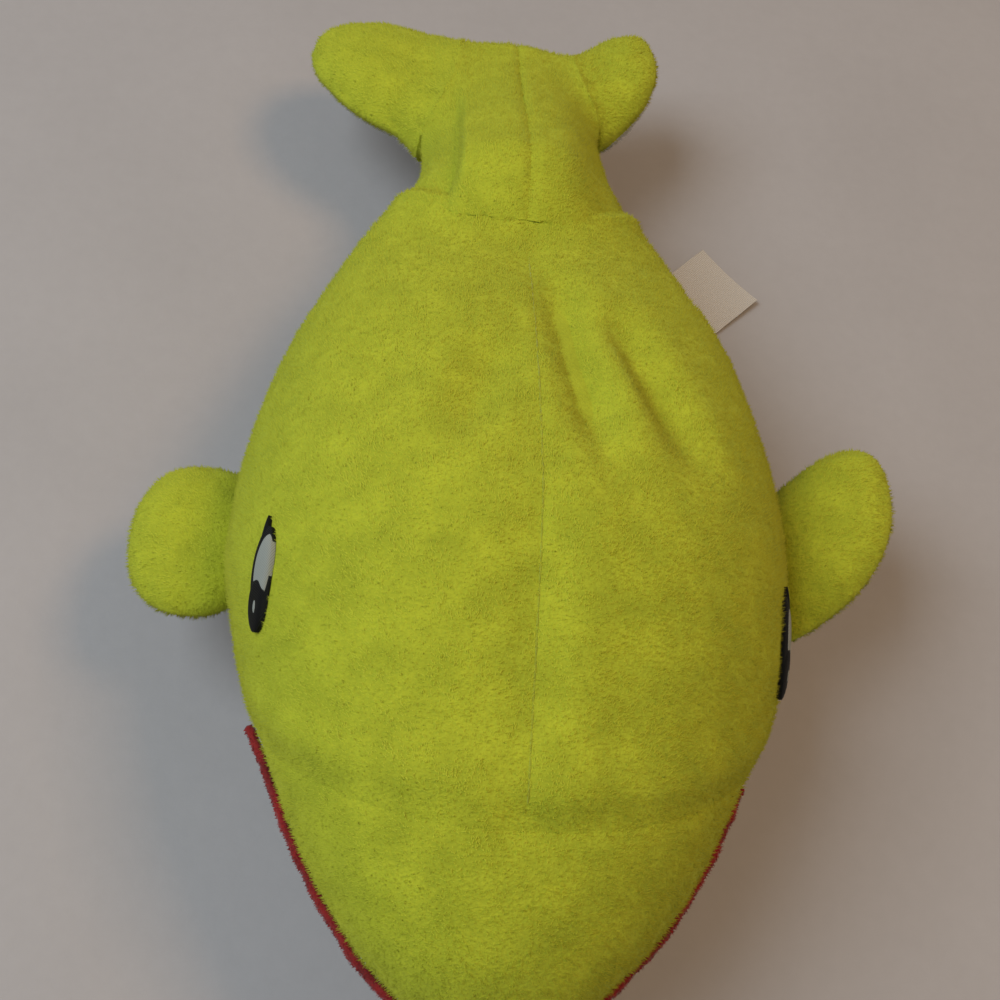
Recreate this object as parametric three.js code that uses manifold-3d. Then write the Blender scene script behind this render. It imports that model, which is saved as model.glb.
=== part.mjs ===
// Plush dolphin: a stuffed egg-shaped body with a bending tail, two flukes, two flippers and a care label.
// Millimetres, +Z up, nose towards -Y, the animal's left towards +X, origin under the widest station.
import * as THREE from 'three';
import { mergeVertices } from 'three/addons/utils/BufferGeometryUtils.js';
import Module from 'manifold-3d';

const wasm = await Module();
wasm.setup();

// Cloth, seams and clearances
const CLOTH = 2;
const SEAM_GAP = 0.3;
const CORE_GAP = 0.45;
const BODY_CORE_GAP = 1.6;
const JOINT_GAP = 0.45;
const ROLL_DEPTH = 1.5;
const ROLL_WIDTH = 4;
const THREAD_RADIUS = 0.45;
const THREAD_SUNK = 0.5;
const WELD_TOLERANCE = 1e-4;

// Body, measured from its widest station and its side seam
const BODY_HALF_WIDTH = 44;
const BODY_NOSE_LENGTH = 69.5;
const BODY_REAR_LENGTH = 73.5;
const BODY_CROWN = 32.8;
const BODY_DEPTH = 32;
const SIDE_SEAM_HEIGHT = 30.4;
const SNOUT_POWER = 1.3;
const JAW_POWER = 1.6;
const NOSE_ROUNDING = 2;
const FLANK_POWER = 2.1;
const RUMP_POWER = 1.3;
const GIRTH_POWER = 2.1;
const BELLY_POWER = 2.4;
const FOREHEAD_STATION = -0.645;
const FOREHEAD_SWEEP = 0.25;
const FLANK_ARC = 1.25;

// Face
const MOUTH_RADIUS = 0.75;
const MOUTH_PROUD = -0.05;
const MOUTH_CORNER_RIGHT = -0.39;
const MOUTH_CORNER_LEFT = -0.45;
const EYE_LENGTH = 14;
const EYE_HEIGHT = 5.4;
const EYE_STATION = -0.152;
const EYE_ANGLE_LEFT = 73;
const EYE_ANGLE_RIGHT = 62;
const EYE_SLANT = 24;
const EYE_PLY = 0.25;
const EYE_WHITE_MIDDLE = [1.2, -0.4];
const EYE_WHITE_HALF = [4.6, 2];
const PUPIL_MIDDLE = [-3.1, 0.1];
const PUPIL_HALF = [3.6, 2.2];
const GLINT_MIDDLE = [-3.5, -0.3];
const GLINT_HALF = [1, 0.5];
const FACE_SKEW = 1;
const DORSAL_THREAD_END = 0.8;
const FOREHEAD_THREAD_REACH = 82;

// Tail, measured from its bending axis along its own middle line
const TAIL_AXIS_INSET = 0.5;
const TAIL_AXIS_DROP = 2.9;
const TAIL_ROOT_RADIUS = 16;
const TAIL_ROOT_HALF_WIDTH = 19;
const TAIL_END_HALF_WIDTH = 11.5;
const TAIL_END_HALF_HEIGHT = 6.5;
const TAIL_TAPER_LENGTH = 43;
const TAIL_LENGTH = 49;
const TAIL_DROOP = 10;

// Flukes, each sewn along the side of the tail
const FLUKE_SPAN_LEFT = 15;
const FLUKE_SPAN_RIGHT = 25;
const FLUKE_ROOT_LEAD_LEFT = 12;
const FLUKE_ROOT_LEAD_RIGHT = 20;
const FLUKE_ROOT_TRAIL = 21;
const FLUKE_TIP_CHORD = 21;
const FLUKE_SWEEP_LEFT = 0.65;
const FLUKE_SWEEP_RIGHT = 0.2;
const FLUKE_THICKNESS = 10.5;
const FLUKE_MIDDLE = 34.5;
const FLUKE_ROOT_RADIUS = 4.6;
const FLUKE_ROOT_TURN_IN = 8;
const FLUKE_SQUARENESS = 2.8;
const FLUKE_LIFT_LEFT = 28;
const FLUKE_LIFT_RIGHT = 2;
const FLUKE_BEND = [-25, 25];

// Flippers, each sewn just under the side seam
const FLIPPER_SPAN_LEFT = 21.5;
const FLIPPER_SPAN_RIGHT = 13.3;
const FLIPPER_CHORD = 28.5;
const FLIPPER_TIP_CHORD_LEFT = 31.5;
const FLIPPER_TIP_CHORD_RIGHT = 28.5;
const FLIPPER_THICKNESS = 11.5;
const FLIPPER_STATION_LEFT = 9;
const FLIPPER_STATION_RIGHT = 6.5;
const FLIPPER_DROP = 8.4;
const FLIPPER_PITCH = 10;
const FLIPPER_ROOT_RADIUS = 5.2;
const FLIPPER_ROOT_TURN_IN = 3;
const FLIPPER_SQUARENESS = 2.35;
const FLIPPER_LIFT_LEFT = 30;
const FLIPPER_LIFT_RIGHT = -4;
const FLIPPER_SWEEP_LEFT = 0.56;
const FLIPPER_SWEEP_RIGHT = 0.05;
const FLIPPER_BEND = [-30, 30];

// Care label, sewn into the side seam near the tail and lying on the floor
const LABEL_WIDTH = 16;
const LABEL_THICKNESS = 0.5;
const LABEL_STATION = 0.85;
const LABEL_DROP_RUN = 22;
const LABEL_FLAT_RUN = 14;
const LABEL_ROOT_GAP = 0.4;
const LABEL_ROOT_REACH = LABEL_WIDTH / 4;

// Shared by all limbs: how deep each sits in what carries it, and how its pillow swells from the edge
const SEAT_DEPTH = 1.3;
const CUT_STEPS = 2;
const PILLOW_POWER = 2.4;
const PILLOW_ROUNDING = 0.62;

// Fineness of the facets
const ROLL_ROWS = [0.35, 1];
const BACK_STEPS = [8, 4];
const SNOUT_STEPS = [4, 8];
const BELLY_STEPS = [17, 9];
const BODY_CORE_STEPS = 14;
const BODY_TOOL_STEPS = 26;
const TAIL_ROWS = 11;
const TAIL_ROOT_ROWS = 0.3;
const TAIL_TOP_STEPS = 3;
const TAIL_BELLY_STEPS = 5;
const TAIL_CORE_SIDES = 10;
const TAIL_TOOL_STEPS = 20;
const LIMB_RINGS = [0, 0.5, 0.85, 1];
const LIMB_TURNS = 14;
const BAR_SIDES = 24;
const EYE_TURNS = 14;
const MOUTH_STEPS = [32, 5];
const DORSAL_STEPS = 16;
const FOREHEAD_STEPS = 18;
const THREAD_SIDES = 4;
const LABEL_STEPS = 10;
const NOSE_CROWDING = 1.7;
const CORD_END_POWER = 12;
const TANGENT_STEP = 1e-3;

const rad = THREE.MathUtils.degToRad;
const vec = (x, y, z) => new THREE.Vector3(x, y, z);
const range = (count) => Array.from({ length: count }, (_, index) => index);
const evenSteps = (count) => range(count + 1).map((step) => step / count);
const power = (value, exponent) => Math.sign(value) * Math.abs(value) ** exponent;
const bulge = (share, exponent, rounding = exponent) =>
  Math.max(0, 1 - Math.abs(share) ** exponent) ** (1 / rounding);

// Cloth colours as seen in soft light
const neon = new THREE.MeshStandardMaterial({ color: 0xc8d628, roughness: 0.95, metalness: 0 });
const white = new THREE.MeshStandardMaterial({ color: 0xe6e6df, roughness: 0.95, metalness: 0 });
const fibre = new THREE.MeshStandardMaterial({ color: 0xf2f1ec, roughness: 1, metalness: 0 });
const red = new THREE.MeshStandardMaterial({ color: 0xa81f1c, roughness: 0.8, metalness: 0 });
const black = new THREE.MeshStandardMaterial({ color: 0x161716, roughness: 0.7, metalness: 0 });
const satin = new THREE.MeshStandardMaterial({ color: 0xe9e6de, roughness: 0.5, metalness: 0 });
const thread = new THREE.MeshStandardMaterial({ color: 0x8f9722, roughness: 0.8, metalness: 0 });

const dolphin = new THREE.Group();

// Turns loose triangles into one welded geometry whose faces point outwards
function weld(points, triangles) {
  const loose = new THREE.BufferGeometry();
  const corners = triangles.flat().map((index) => points[index]);
  loose.setFromPoints(corners);
  const welded = mergeVertices(loose, WELD_TOLERANCE);
  const index = welded.index.array;
  const place = welded.attributes.position;
  const kept = [];
  let volume = 0;
  for (let i = 0; i < index.length; i += 3) {
    const face = [index[i], index[i + 1], index[i + 2]];
    if (new Set(face).size < 3) continue;
    kept.push(...face);
    const [a, b, c] = face.map((corner) => new THREE.Vector3().fromBufferAttribute(place, corner));
    volume += a.dot(b.cross(c));
  }
  welded.setIndex(volume < 0 ? kept.reverse() : kept);
  return welded;
}

// Triangles over a grid of points, with the last column joined to the first where the grid is wrapped
function gridFaces(rows, cols, wrapped, start, flipped) {
  const stride = wrapped ? cols : cols + 1;
  const at = (row, col) => start + row * stride + (wrapped ? col % cols : col);
  const faces = [];
  for (const row of range(rows)) {
    for (const col of range(cols)) {
      const quad = [at(row, col), at(row, col + 1), at(row + 1, col + 1), at(row + 1, col)];
      const order = flipped ? [quad[0], quad[3], quad[2], quad[1]] : quad;
      faces.push([order[0], order[1], order[2]], [order[0], order[2], order[3]]);
    }
  }
  return faces;
}

// A closed tube or ball: the grid is wrapped round and both ends run to a point
function closedRound(rows, cols, place) {
  const points = range(rows + 1).flatMap((row) => range(cols).map((col) => place(row / rows, col / cols)));
  return weld(points, gridFaces(rows, cols, true, 0, false));
}

// A closed sheet: an outer and an inner skin over the same grid, with walls along the open edges
function closedSheet(rowSteps, colSteps, wrapped, outer, inner) {
  const rows = rowSteps.length - 1;
  const cols = colSteps.length - 1;
  const used = wrapped ? colSteps.slice(0, -1) : colSteps;
  const skin = (place) => rowSteps.flatMap((row) => used.map((col) => place(row, col)));
  const points = [...skin(outer), ...skin(inner)];
  const stride = used.length;
  const half = stride * (rows + 1);
  const faces = [
    ...gridFaces(rows, cols, wrapped, 0, false),
    ...gridFaces(rows, cols, wrapped, half, true),
  ];
  const wall = (a, b) => faces.push([b, a, a + half], [b, a + half, b + half]);
  for (const col of range(cols)) {
    const next = wrapped ? (col + 1) % cols : col + 1;
    wall(col, next);
    wall(rows * stride + next, rows * stride + col);
  }
  if (!wrapped) {
    for (const row of range(rows)) {
      wall((row + 1) * stride, row * stride);
      wall(row * stride + cols, (row + 1) * stride + cols);
    }
  }
  return weld(points, faces);
}

// Boolean cuts and joins on welded geometries
function toSolid(geometry) {
  const vertProperties = new Float32Array(geometry.attributes.position.array);
  const triVerts = new Uint32Array(geometry.index.array);
  return new wasm.Manifold(new wasm.Mesh({ numProp: 3, vertProperties, triVerts }));
}

function toGeometry(solid) {
  const mesh = solid.getMesh();
  const geometry = new THREE.BufferGeometry();
  geometry.setAttribute('position', new THREE.BufferAttribute(new Float32Array(mesh.vertProperties), 3));
  geometry.setIndex(new THREE.BufferAttribute(new Uint32Array(mesh.triVerts), 1));
  return geometry;
}

function cut(geometry, ...tools) {
  const left = tools.reduce((solid, tool) => solid.subtract(toSolid(tool)), toSolid(geometry));
  return toGeometry(left);
}

function addNode(name, geometry, material) {
  geometry.computeVertexNormals();
  const mesh = new THREE.Mesh(geometry, material);
  mesh.name = name;
  dolphin.add(mesh);
}

// Grid steps from 0 to 1 with close rows at the ends, where the cloth rolls into a seam of the given length
function seamSteps(count, length) {
  const edge = ROLL_ROWS.map((share) => (share * ROLL_WIDTH) / length);
  const last = edge[edge.length - 1];
  const middle = range(count + 1).map((step) => last + ((1 - 2 * last) * step) / count);
  return [0, edge[0], ...middle, 1 - edge[0], 1];
}

// How far the cloth dips towards a seam that lies the given distance away
function seamDip(distance) {
  return ROLL_DEPTH * Math.max(0, 1 - distance / ROLL_WIDTH) ** 2;
}

// Body surface: station -1 nose to 1 rear, angle 0 crown to 180 belly, grown outwards
function bodyPoint(station, angle, grow) {
  const front = station < 0;
  const length = (front ? BODY_NOSE_LENGTH : BODY_REAR_LENGTH) + grow;
  const profile = (nosePower, rearPower) =>
    front ? bulge(station, nosePower, NOSE_ROUNDING) : bulge(station, rearPower);
  const width = (BODY_HALF_WIDTH + grow) * profile(SNOUT_POWER, FLANK_POWER);
  const across = Math.sin(rad(angle));
  const up = Math.cos(rad(angle));
  const crown = (BODY_CROWN + grow) * profile(SNOUT_POWER, RUMP_POWER);
  const depth = (BODY_DEPTH + grow) * profile(JAW_POWER, FLANK_POWER);
  const rise = up > 0 ? crown * power(up, 2 / GIRTH_POWER) : depth * power(up, 2 / BELLY_POWER);
  const height = Math.max(SIDE_SEAM_HEIGHT + rise, -grow);
  return vec(width * power(across, 2 / GIRTH_POWER), station * length, height);
}

const foreheadStation = (angle) => FOREHEAD_STATION + FOREHEAD_SWEEP * (angle / 90) ** 2;
const halfGap = SEAM_GAP / 2;
const GIRTH_LENGTH = FLANK_ARC * (BODY_HALF_WIDTH + BODY_CROWN) / 2;
const BODY_LENGTH = BODY_NOSE_LENGTH + BODY_REAR_LENGTH;

// Each panel of the body is shifted half a seam gap away from its neighbours
const shiftBack = (side) => vec(side * halfGap, halfGap, halfGap);
const shiftSnout = vec(0, -halfGap, halfGap);
const shiftBelly = vec(0, 0, -halfGap);

function backPanel(side) {
  const along = seamSteps(BACK_STEPS[0], BODY_LENGTH);
  const around = seamSteps(BACK_STEPS[1], GIRTH_LENGTH);
  const stationAt = (row, col) => {
    const first = foreheadStation(90 * col);
    return first + (1 - first) * Math.sin((row * Math.PI) / 2);
  };
  const place = (row, col, grow) =>
    bodyPoint(stationAt(row, col), side * 90 * col, grow).add(shiftBack(side));
  const dip = (row, col) => {
    const girth = GIRTH_LENGTH * bulge(stationAt(row, col), 2);
    return seamDip(Math.min(row * BODY_LENGTH, girth * Math.min(col, 1 - col)));
  };
  const outer = (row, col) => place(row, col, -dip(row, col));
  const inner = (row, col) => place(row, col, -CLOTH);
  return closedSheet(along, around, false, outer, inner);
}

function snoutPanel() {
  const along = seamSteps(SNOUT_STEPS[0], BODY_NOSE_LENGTH / 2);
  const around = seamSteps(SNOUT_STEPS[1], 2 * GIRTH_LENGTH);
  const stationAt = (row, col) => -1 + (1 + foreheadStation(180 * col - 90)) * row ** NOSE_CROWDING;
  const place = (row, col, grow) => bodyPoint(stationAt(row, col), 180 * col - 90, grow).add(shiftSnout);
  const dip = (row, col) => {
    const girth = 2 * GIRTH_LENGTH * bulge(stationAt(row, col), 2);
    return seamDip(Math.min(((1 - row) * BODY_NOSE_LENGTH) / 2, girth * Math.min(col, 1 - col)));
  };
  const outer = (row, col) => place(row, col, -dip(row, col));
  const inner = (row, col) => place(row, col, -CLOTH);
  return closedSheet(along, around, false, outer, inner);
}

function bellyPanel() {
  const along = evenSteps(BELLY_STEPS[0]);
  const around = seamSteps(BELLY_STEPS[1], 2 * GIRTH_LENGTH);
  const place = (row, col, grow) => {
    const point = bodyPoint(-Math.cos(row * Math.PI), 90 + 180 * col, grow).add(shiftBelly);
    return point.setZ(Math.max(point.z, -grow));
  };
  const dip = (row, col) => {
    const girth = 2 * GIRTH_LENGTH * Math.sin(row * Math.PI);
    return seamDip(girth * Math.min(col, 1 - col));
  };
  const outer = (row, col) => place(row, col, -dip(row, col));
  const inner = (row, col) => place(row, col, -CLOTH);
  return closedSheet(along, around, false, outer, inner);
}

function bodySolid(rows, cols, grow) {
  return closedRound(rows, cols, (row, col) => bodyPoint(-Math.cos(row * Math.PI), 360 * col, grow));
}

// Tail surface in its own frame: x across, y along its middle line from the bending axis, z up
const TAIL_END_ROUNDING = TAIL_LENGTH - TAIL_TAPER_LENGTH;

function tailHalfSizes(along, grow) {
  if (along < 0) {
    const root = bulge(along / (TAIL_ROOT_RADIUS + grow), 2);
    return [(TAIL_ROOT_HALF_WIDTH + grow) * root, (TAIL_ROOT_RADIUS + grow) * root];
  }
  const share = Math.min(along / TAIL_TAPER_LENGTH, 1);
  const end = bulge(Math.max(0, along - TAIL_TAPER_LENGTH) / (TAIL_END_ROUNDING + grow), 2);
  const width = TAIL_ROOT_HALF_WIDTH + (TAIL_END_HALF_WIDTH - TAIL_ROOT_HALF_WIDTH) * share;
  const height = TAIL_ROOT_RADIUS + (TAIL_END_HALF_HEIGHT - TAIL_ROOT_RADIUS) * share;
  return [(width + grow) * end, (height + grow) * end];
}

function tailPoint(row, angle, grow) {
  const front = TAIL_ROOT_RADIUS + grow;
  const back = TAIL_LENGTH + grow;
  const along = row < TAIL_ROOT_ROWS
    ? -front * Math.cos((row / TAIL_ROOT_ROWS) * (Math.PI / 2))
    : back * Math.sin((((row - TAIL_ROOT_ROWS) / (1 - TAIL_ROOT_ROWS)) * Math.PI) / 2);
  const [halfWidth, halfHeight] = tailHalfSizes(along, grow);
  return vec(halfWidth * Math.sin(rad(angle)), along, halfHeight * Math.cos(rad(angle)));
}

const tailFrame = new THREE.Matrix4()
  .makeTranslation(0, BODY_REAR_LENGTH - TAIL_AXIS_INSET, SIDE_SEAM_HEIGHT - TAIL_AXIS_DROP)
  .multiply(new THREE.Matrix4().makeRotationX(-rad(TAIL_DROOP)));
const TAIL_GIRTH = (Math.PI / 4) * (TAIL_ROOT_HALF_WIDTH + TAIL_END_HALF_WIDTH);

function tailPanel(firstAngle, lastAngle, around, shift) {
  const along = evenSteps(TAIL_ROWS);
  const arc = (TAIL_GIRTH * Math.abs(lastAngle - firstAngle)) / 90;
  const columns = seamSteps(around, arc);
  const place = (row, col, grow) => {
    const angle = firstAngle + (lastAngle - firstAngle) * col;
    return tailPoint(row, angle, grow).add(shift).applyMatrix4(tailFrame);
  };
  const dip = (col) => seamDip(arc * Math.min(col, 1 - col));
  const outer = (row, col) => place(row, col, -dip(col));
  const inner = (row, col) => place(row, col, -CLOTH);
  return closedSheet(along, columns, false, outer, inner);
}

function tailSolid(rows, cols, grow) {
  const place = (row, col) => tailPoint(row, 360 * col, grow).applyMatrix4(tailFrame);
  return closedRound(rows, cols, place);
}

// A sewn limb is a stuffed pillow over a rounded outline, in a frame of p outwards, q along its root and n up
function limbFrame(origin, outwards, along, lift) {
  const up = outwards.clone().cross(along).normalize();
  const basis = new THREE.Matrix4().makeBasis(outwards, along, up);
  if (up.z < 0) basis.makeBasis(outwards, along, up.negate());
  const turn = outwards.x > 0 ? -rad(lift) : rad(lift);
  const spin = new THREE.Matrix4().makeRotationAxis(along, turn);
  return new THREE.Matrix4().makeTranslation(origin).multiply(spin).multiply(basis);
}

function limbOutline(limb, turn, grow) {
  const reach = (limb.span + limb.inside) / 2 + grow;
  const middle = (limb.span - limb.inside) / 2;
  const out = Math.cos(2 * Math.PI * turn);
  const root = turn < 0.5 ? limb.rootTrail : limb.rootLead;
  const chord = root + (limb.tipChord / 2 - root) * (0.5 + 0.5 * out) + grow;
  const p = middle + reach * power(out, 2 / limb.squareness);
  const q = chord * power(Math.sin(2 * Math.PI * turn), 2 / limb.squareness) + limb.sweep * Math.max(p, 0);
  return [p, q];
}

function limbPoint(limb, ring, turn, grow, side) {
  const [p, q] = limbOutline(limb, turn, grow);
  const middle = (limb.span - limb.inside) / 2;
  const rise = (limb.thickness / 2 + grow) * Math.max(0, 1 - ring ** PILLOW_POWER) ** PILLOW_ROUNDING;
  const shift = side * halfGap;
  const out = middle + (p - middle) * ring;
  const along = limb.sweep * middle * (1 - ring) + q * ring;
  return vec(out, along, side * rise + shift).applyMatrix4(limb.frame);
}

function limbHalf(limb, side) {
  const outer = (ring, turn) => limbPoint(limb, ring, turn, 0, side);
  const inner = (ring, turn) => limbPoint(limb, ring, turn, -CLOTH, side);
  return closedSheet(LIMB_RINGS, evenSteps(LIMB_TURNS), true, outer, inner);
}

function limbCore(limb) {
  const grow = -CLOTH - CORE_GAP;
  const outer = (ring, turn) => limbPoint(limb, ring, turn, grow, 1);
  const inner = (ring, turn) => limbPoint(limb, ring, turn, grow, -1);
  return closedSheet(LIMB_RINGS, evenSteps(LIMB_TURNS), true, outer, inner);
}

// A round bar along a limb's root, which shapes the seat in the cloth that carries it
function rootBar(limb, radius) {
  const bar = new THREE.CylinderGeometry(radius, radius, 2 * (limb.rootLead + limb.rootTrail), BAR_SIDES);
  bar.deleteAttribute('normal');
  bar.deleteAttribute('uv');
  const welded = mergeVertices(bar, WELD_TOLERANCE);
  const frame = new THREE.Matrix4().copyPosition(limb.frame);
  const turn = new THREE.Quaternion().setFromUnitVectors(vec(0, 1, 0), limb.along);
  welded.applyMatrix4(new THREE.Matrix4().makeRotationFromQuaternion(turn));
  return welded.applyMatrix4(frame);
}

// The carrier as the limb sees it while it bends from one limit to the other
function sweptCarrier(limb, carrier, bend) {
  const seat = toSolid(carrier).subtract(toSolid(rootBar(limb, limb.rootRadius - JOINT_GAP)));
  const fixed = toGeometry(seat);
  return range(CUT_STEPS + 1).map((step) => {
    const angle = rad(bend[0] + ((bend[1] - bend[0]) * step) / CUT_STEPS);
    const toOrigin = new THREE.Matrix4().makeTranslation(limb.origin.clone().negate());
    const spin = new THREE.Matrix4().makeRotationAxis(limb.along, angle);
    const back = new THREE.Matrix4().makeTranslation(limb.origin);
    return fixed.clone().applyMatrix4(back.multiply(spin).multiply(toOrigin));
  });
}

function flipper(side, station, span, tipChord, lift, sweep) {
  const along = vec(0, Math.cos(rad(FLIPPER_PITCH)), -Math.sin(rad(FLIPPER_PITCH)));
  const outwards = vec(side, 0, 0);
  const across = (1 - (FLIPPER_DROP / BODY_DEPTH) ** BELLY_POWER) ** (1 / GIRTH_POWER);
  const flank = BODY_HALF_WIDTH * across * bulge(station / BODY_REAR_LENGTH, FLANK_POWER);
  const reach = flank + FLIPPER_ROOT_RADIUS - SEAT_DEPTH;
  const origin = vec(side * reach, station, SIDE_SEAM_HEIGHT - FLIPPER_DROP);
  return {
    origin, along, sweep,
    frame: limbFrame(origin, outwards, along, lift),
    span,
    inside: FLIPPER_ROOT_RADIUS + FLIPPER_ROOT_TURN_IN,
    rootLead: FLIPPER_CHORD / 2,
    rootTrail: FLIPPER_CHORD / 2,
    tipChord,
    thickness: FLIPPER_THICKNESS,
    rootRadius: FLIPPER_ROOT_RADIUS,
    squareness: FLIPPER_SQUARENESS,
  };
}

function fluke(side, span, rootLead, lift, sweep) {
  const slope = (TAIL_END_HALF_WIDTH - TAIL_ROOT_HALF_WIDTH) / TAIL_TAPER_LENGTH;
  const edge = vec(side * slope, 1, 0).normalize();
  const normal = vec(side, -slope, 0).normalize();
  const halfWidth = TAIL_ROOT_HALF_WIDTH + slope * FLUKE_MIDDLE;
  const local = vec(side * halfWidth, FLUKE_MIDDLE, 0);
  local.addScaledVector(normal, FLUKE_ROOT_RADIUS - SEAT_DEPTH);
  const origin = local.applyMatrix4(tailFrame);
  const along = edge.transformDirection(tailFrame);
  const outwards = normal.transformDirection(tailFrame);
  return {
    origin, along, sweep,
    frame: limbFrame(origin, outwards, along, lift),
    span,
    inside: FLUKE_ROOT_RADIUS + FLUKE_ROOT_TURN_IN,
    rootLead,
    rootTrail: FLUKE_ROOT_TRAIL,
    tipChord: FLUKE_TIP_CHORD,
    thickness: FLUKE_THICKNESS,
    rootRadius: FLUKE_ROOT_RADIUS,
    squareness: FLUKE_SQUARENESS,
  };
}

const flippers = {
  left: flipper(1, FLIPPER_STATION_LEFT, FLIPPER_SPAN_LEFT, FLIPPER_TIP_CHORD_LEFT,
    FLIPPER_LIFT_LEFT, FLIPPER_SWEEP_LEFT),
  right: flipper(-1, FLIPPER_STATION_RIGHT, FLIPPER_SPAN_RIGHT, FLIPPER_TIP_CHORD_RIGHT,
    FLIPPER_LIFT_RIGHT, FLIPPER_SWEEP_RIGHT),
};
const flukes = {
  left: fluke(1, FLUKE_SPAN_LEFT, FLUKE_ROOT_LEAD_LEFT, FLUKE_LIFT_LEFT, FLUKE_SWEEP_LEFT),
  right: fluke(-1, FLUKE_SPAN_RIGHT, FLUKE_ROOT_LEAD_RIGHT, FLUKE_LIFT_RIGHT, FLUKE_SWEEP_RIGHT),
};

// Face: flat plies of embroidery that follow the flank, and a corded mouth along the side seam
function eyePly(side, ply, middle, half) {
  const base = SEAM_GAP + 2 * EYE_PLY * ply;
  const mmPerDegree = (Math.PI / 180) * (BODY_HALF_WIDTH + BODY_CROWN) / 2;
  const place = (ring, turn, grow) => {
    const a = half[0] * ring * Math.cos(2 * Math.PI * turn);
    const b = half[1] * ring * Math.sin(2 * Math.PI * turn) + Math.tan(rad(EYE_SLANT)) * a;
    const station = EYE_STATION + (middle[0] + a - side * FACE_SKEW) / BODY_NOSE_LENGTH;
    const angle = (side > 0 ? EYE_ANGLE_LEFT : EYE_ANGLE_RIGHT) + (middle[1] - b) / mmPerDegree;
    return bodyPoint(station, side * angle, grow).add(shiftBack(side));
  };
  const outer = (ring, turn) => place(ring, turn, base + EYE_PLY);
  const inner = (ring, turn) => place(ring, turn, base);
  return closedSheet([0, 1], evenSteps(EYE_TURNS), true, outer, inner);
}

function mouthCord() {
  const place = (row, col) => {
    const way = 2 * row - 1;
    const corner = way < 0 ? MOUTH_CORNER_RIGHT : MOUTH_CORNER_LEFT;
    const station = -1 + (1 + corner) * Math.abs(way) ** NOSE_CROWDING;
    const radius = MOUTH_RADIUS * bulge(way, CORD_END_POWER);
    const turn = 2 * Math.PI * col;
    const point = bodyPoint(station, 90 * Math.sign(way || 1), MOUTH_PROUD + radius * Math.cos(turn));
    return point.add(vec(0, 0, radius * Math.sin(turn)));
  };
  return closedRound(MOUTH_STEPS[0], MOUTH_STEPS[1], place);
}

function seamThread(steps, centre) {
  const place = (row, col) => {
    const here = centre(row);
    const next = centre(row + TANGENT_STEP);
    const radius = THREAD_RADIUS * bulge(2 * row - 1, CORD_END_POWER);
    const tangent = next.clone().sub(here).normalize();
    const outwards = here.clone().sub(vec(0, here.y, SIDE_SEAM_HEIGHT)).normalize();
    const sideways = tangent.clone().cross(outwards).normalize();
    const turn = 2 * Math.PI * col;
    here.addScaledVector(outwards, radius * Math.cos(turn));
    return here.addScaledVector(sideways, radius * Math.sin(turn));
  };
  return closedRound(steps, THREAD_SIDES, place);
}

const dorsalThread = seamThread(DORSAL_STEPS, (row) => {
  const first = FOREHEAD_STATION + 2 * ROLL_WIDTH / BODY_LENGTH;
  const point = bodyPoint(first + (DORSAL_THREAD_END - first) * row, 0, -THREAD_SUNK);
  return point.add(vec(0, halfGap, halfGap));
});
const foreheadThread = seamThread(FOREHEAD_STEPS, (row) => {
  const angle = FOREHEAD_THREAD_REACH * (2 * row - 1);
  return bodyPoint(foreheadStation(angle), angle, -THREAD_SUNK).add(vec(0, 0, halfGap));
});

// Care label: a strip that drops from the side seam in a soft bend and then lies flat
function labelSheet() {
  const root = bodyPoint(LABEL_STATION, 90, LABEL_ROOT_GAP - ROLL_DEPTH);
  const beside = LABEL_ROOT_REACH / BODY_REAR_LENGTH;
  const ahead = bodyPoint(LABEL_STATION - beside, 90, 0);
  const behind = bodyPoint(LABEL_STATION + beside, 90, 0);
  const along = behind.sub(ahead).setZ(0).normalize();
  const outwards = vec(along.y, -along.x, 0);
  const floor = LABEL_THICKNESS / 2 + SEAM_GAP;
  const run = LABEL_DROP_RUN + LABEL_FLAT_RUN;
  const place = (row, col, offset) => {
    const far = run * row;
    const share = Math.min(far / LABEL_DROP_RUN, 1);
    const fall = 0.5 + 0.5 * Math.cos(Math.PI * share);
    const point = root.clone().addScaledVector(outwards, far);
    point.addScaledVector(along, LABEL_WIDTH * (col - 0.5));
    return point.setZ(floor + (root.z - floor) * fall + offset);
  };
  const upper = (row, col) => place(row, col, LABEL_THICKNESS / 2);
  const lower = (row, col) => place(row, col, -LABEL_THICKNESS / 2);
  return closedSheet(evenSteps(LABEL_STEPS), [0, 1], false, upper, lower);
}

// Body: cloth panels round a stuffing core, with a round socket for the tail and a seat for each flipper
const socket = tailSolid(TAIL_TOOL_STEPS, TAIL_TOOL_STEPS, JOINT_GAP);
const bodyCore = bodySolid(BODY_CORE_STEPS, BODY_CORE_STEPS, -CLOTH - BODY_CORE_GAP);
const flipperSeats = Object.values(flippers).map((limb) => rootBar(limb, limb.rootRadius));
addNode('back_panel_left', cut(backPanel(1), socket), neon);
addNode('back_panel_right', cut(backPanel(-1), socket), neon);
addNode('snout_top_panel', snoutPanel(), neon);
addNode('belly_panel', cut(bellyPanel(), socket, ...flipperSeats), white);
addNode('body_stuffing', cut(bodyCore, socket), fibre);
addNode('mouth_stitching', mouthCord(), red);
addNode('dorsal_seam_thread', dorsalThread, thread);
addNode('forehead_seam_thread', foreheadThread, thread);
for (const [name, side] of [['left', 1], ['right', -1]]) {
  const half = [EYE_LENGTH / 2, EYE_HEIGHT / 2];
  addNode(`eye_outline_${name}`, eyePly(side, 0, [0, 0], half), black);
  addNode(`eye_white_${name}`, eyePly(side, 1, EYE_WHITE_MIDDLE, EYE_WHITE_HALF), white);
  addNode(`eye_pupil_${name}`, eyePly(side, 2, PUPIL_MIDDLE, PUPIL_HALF), black);
  addNode(`eye_glint_${name}`, eyePly(side, 3, GLINT_MIDDLE, GLINT_HALF), white);
}
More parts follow.
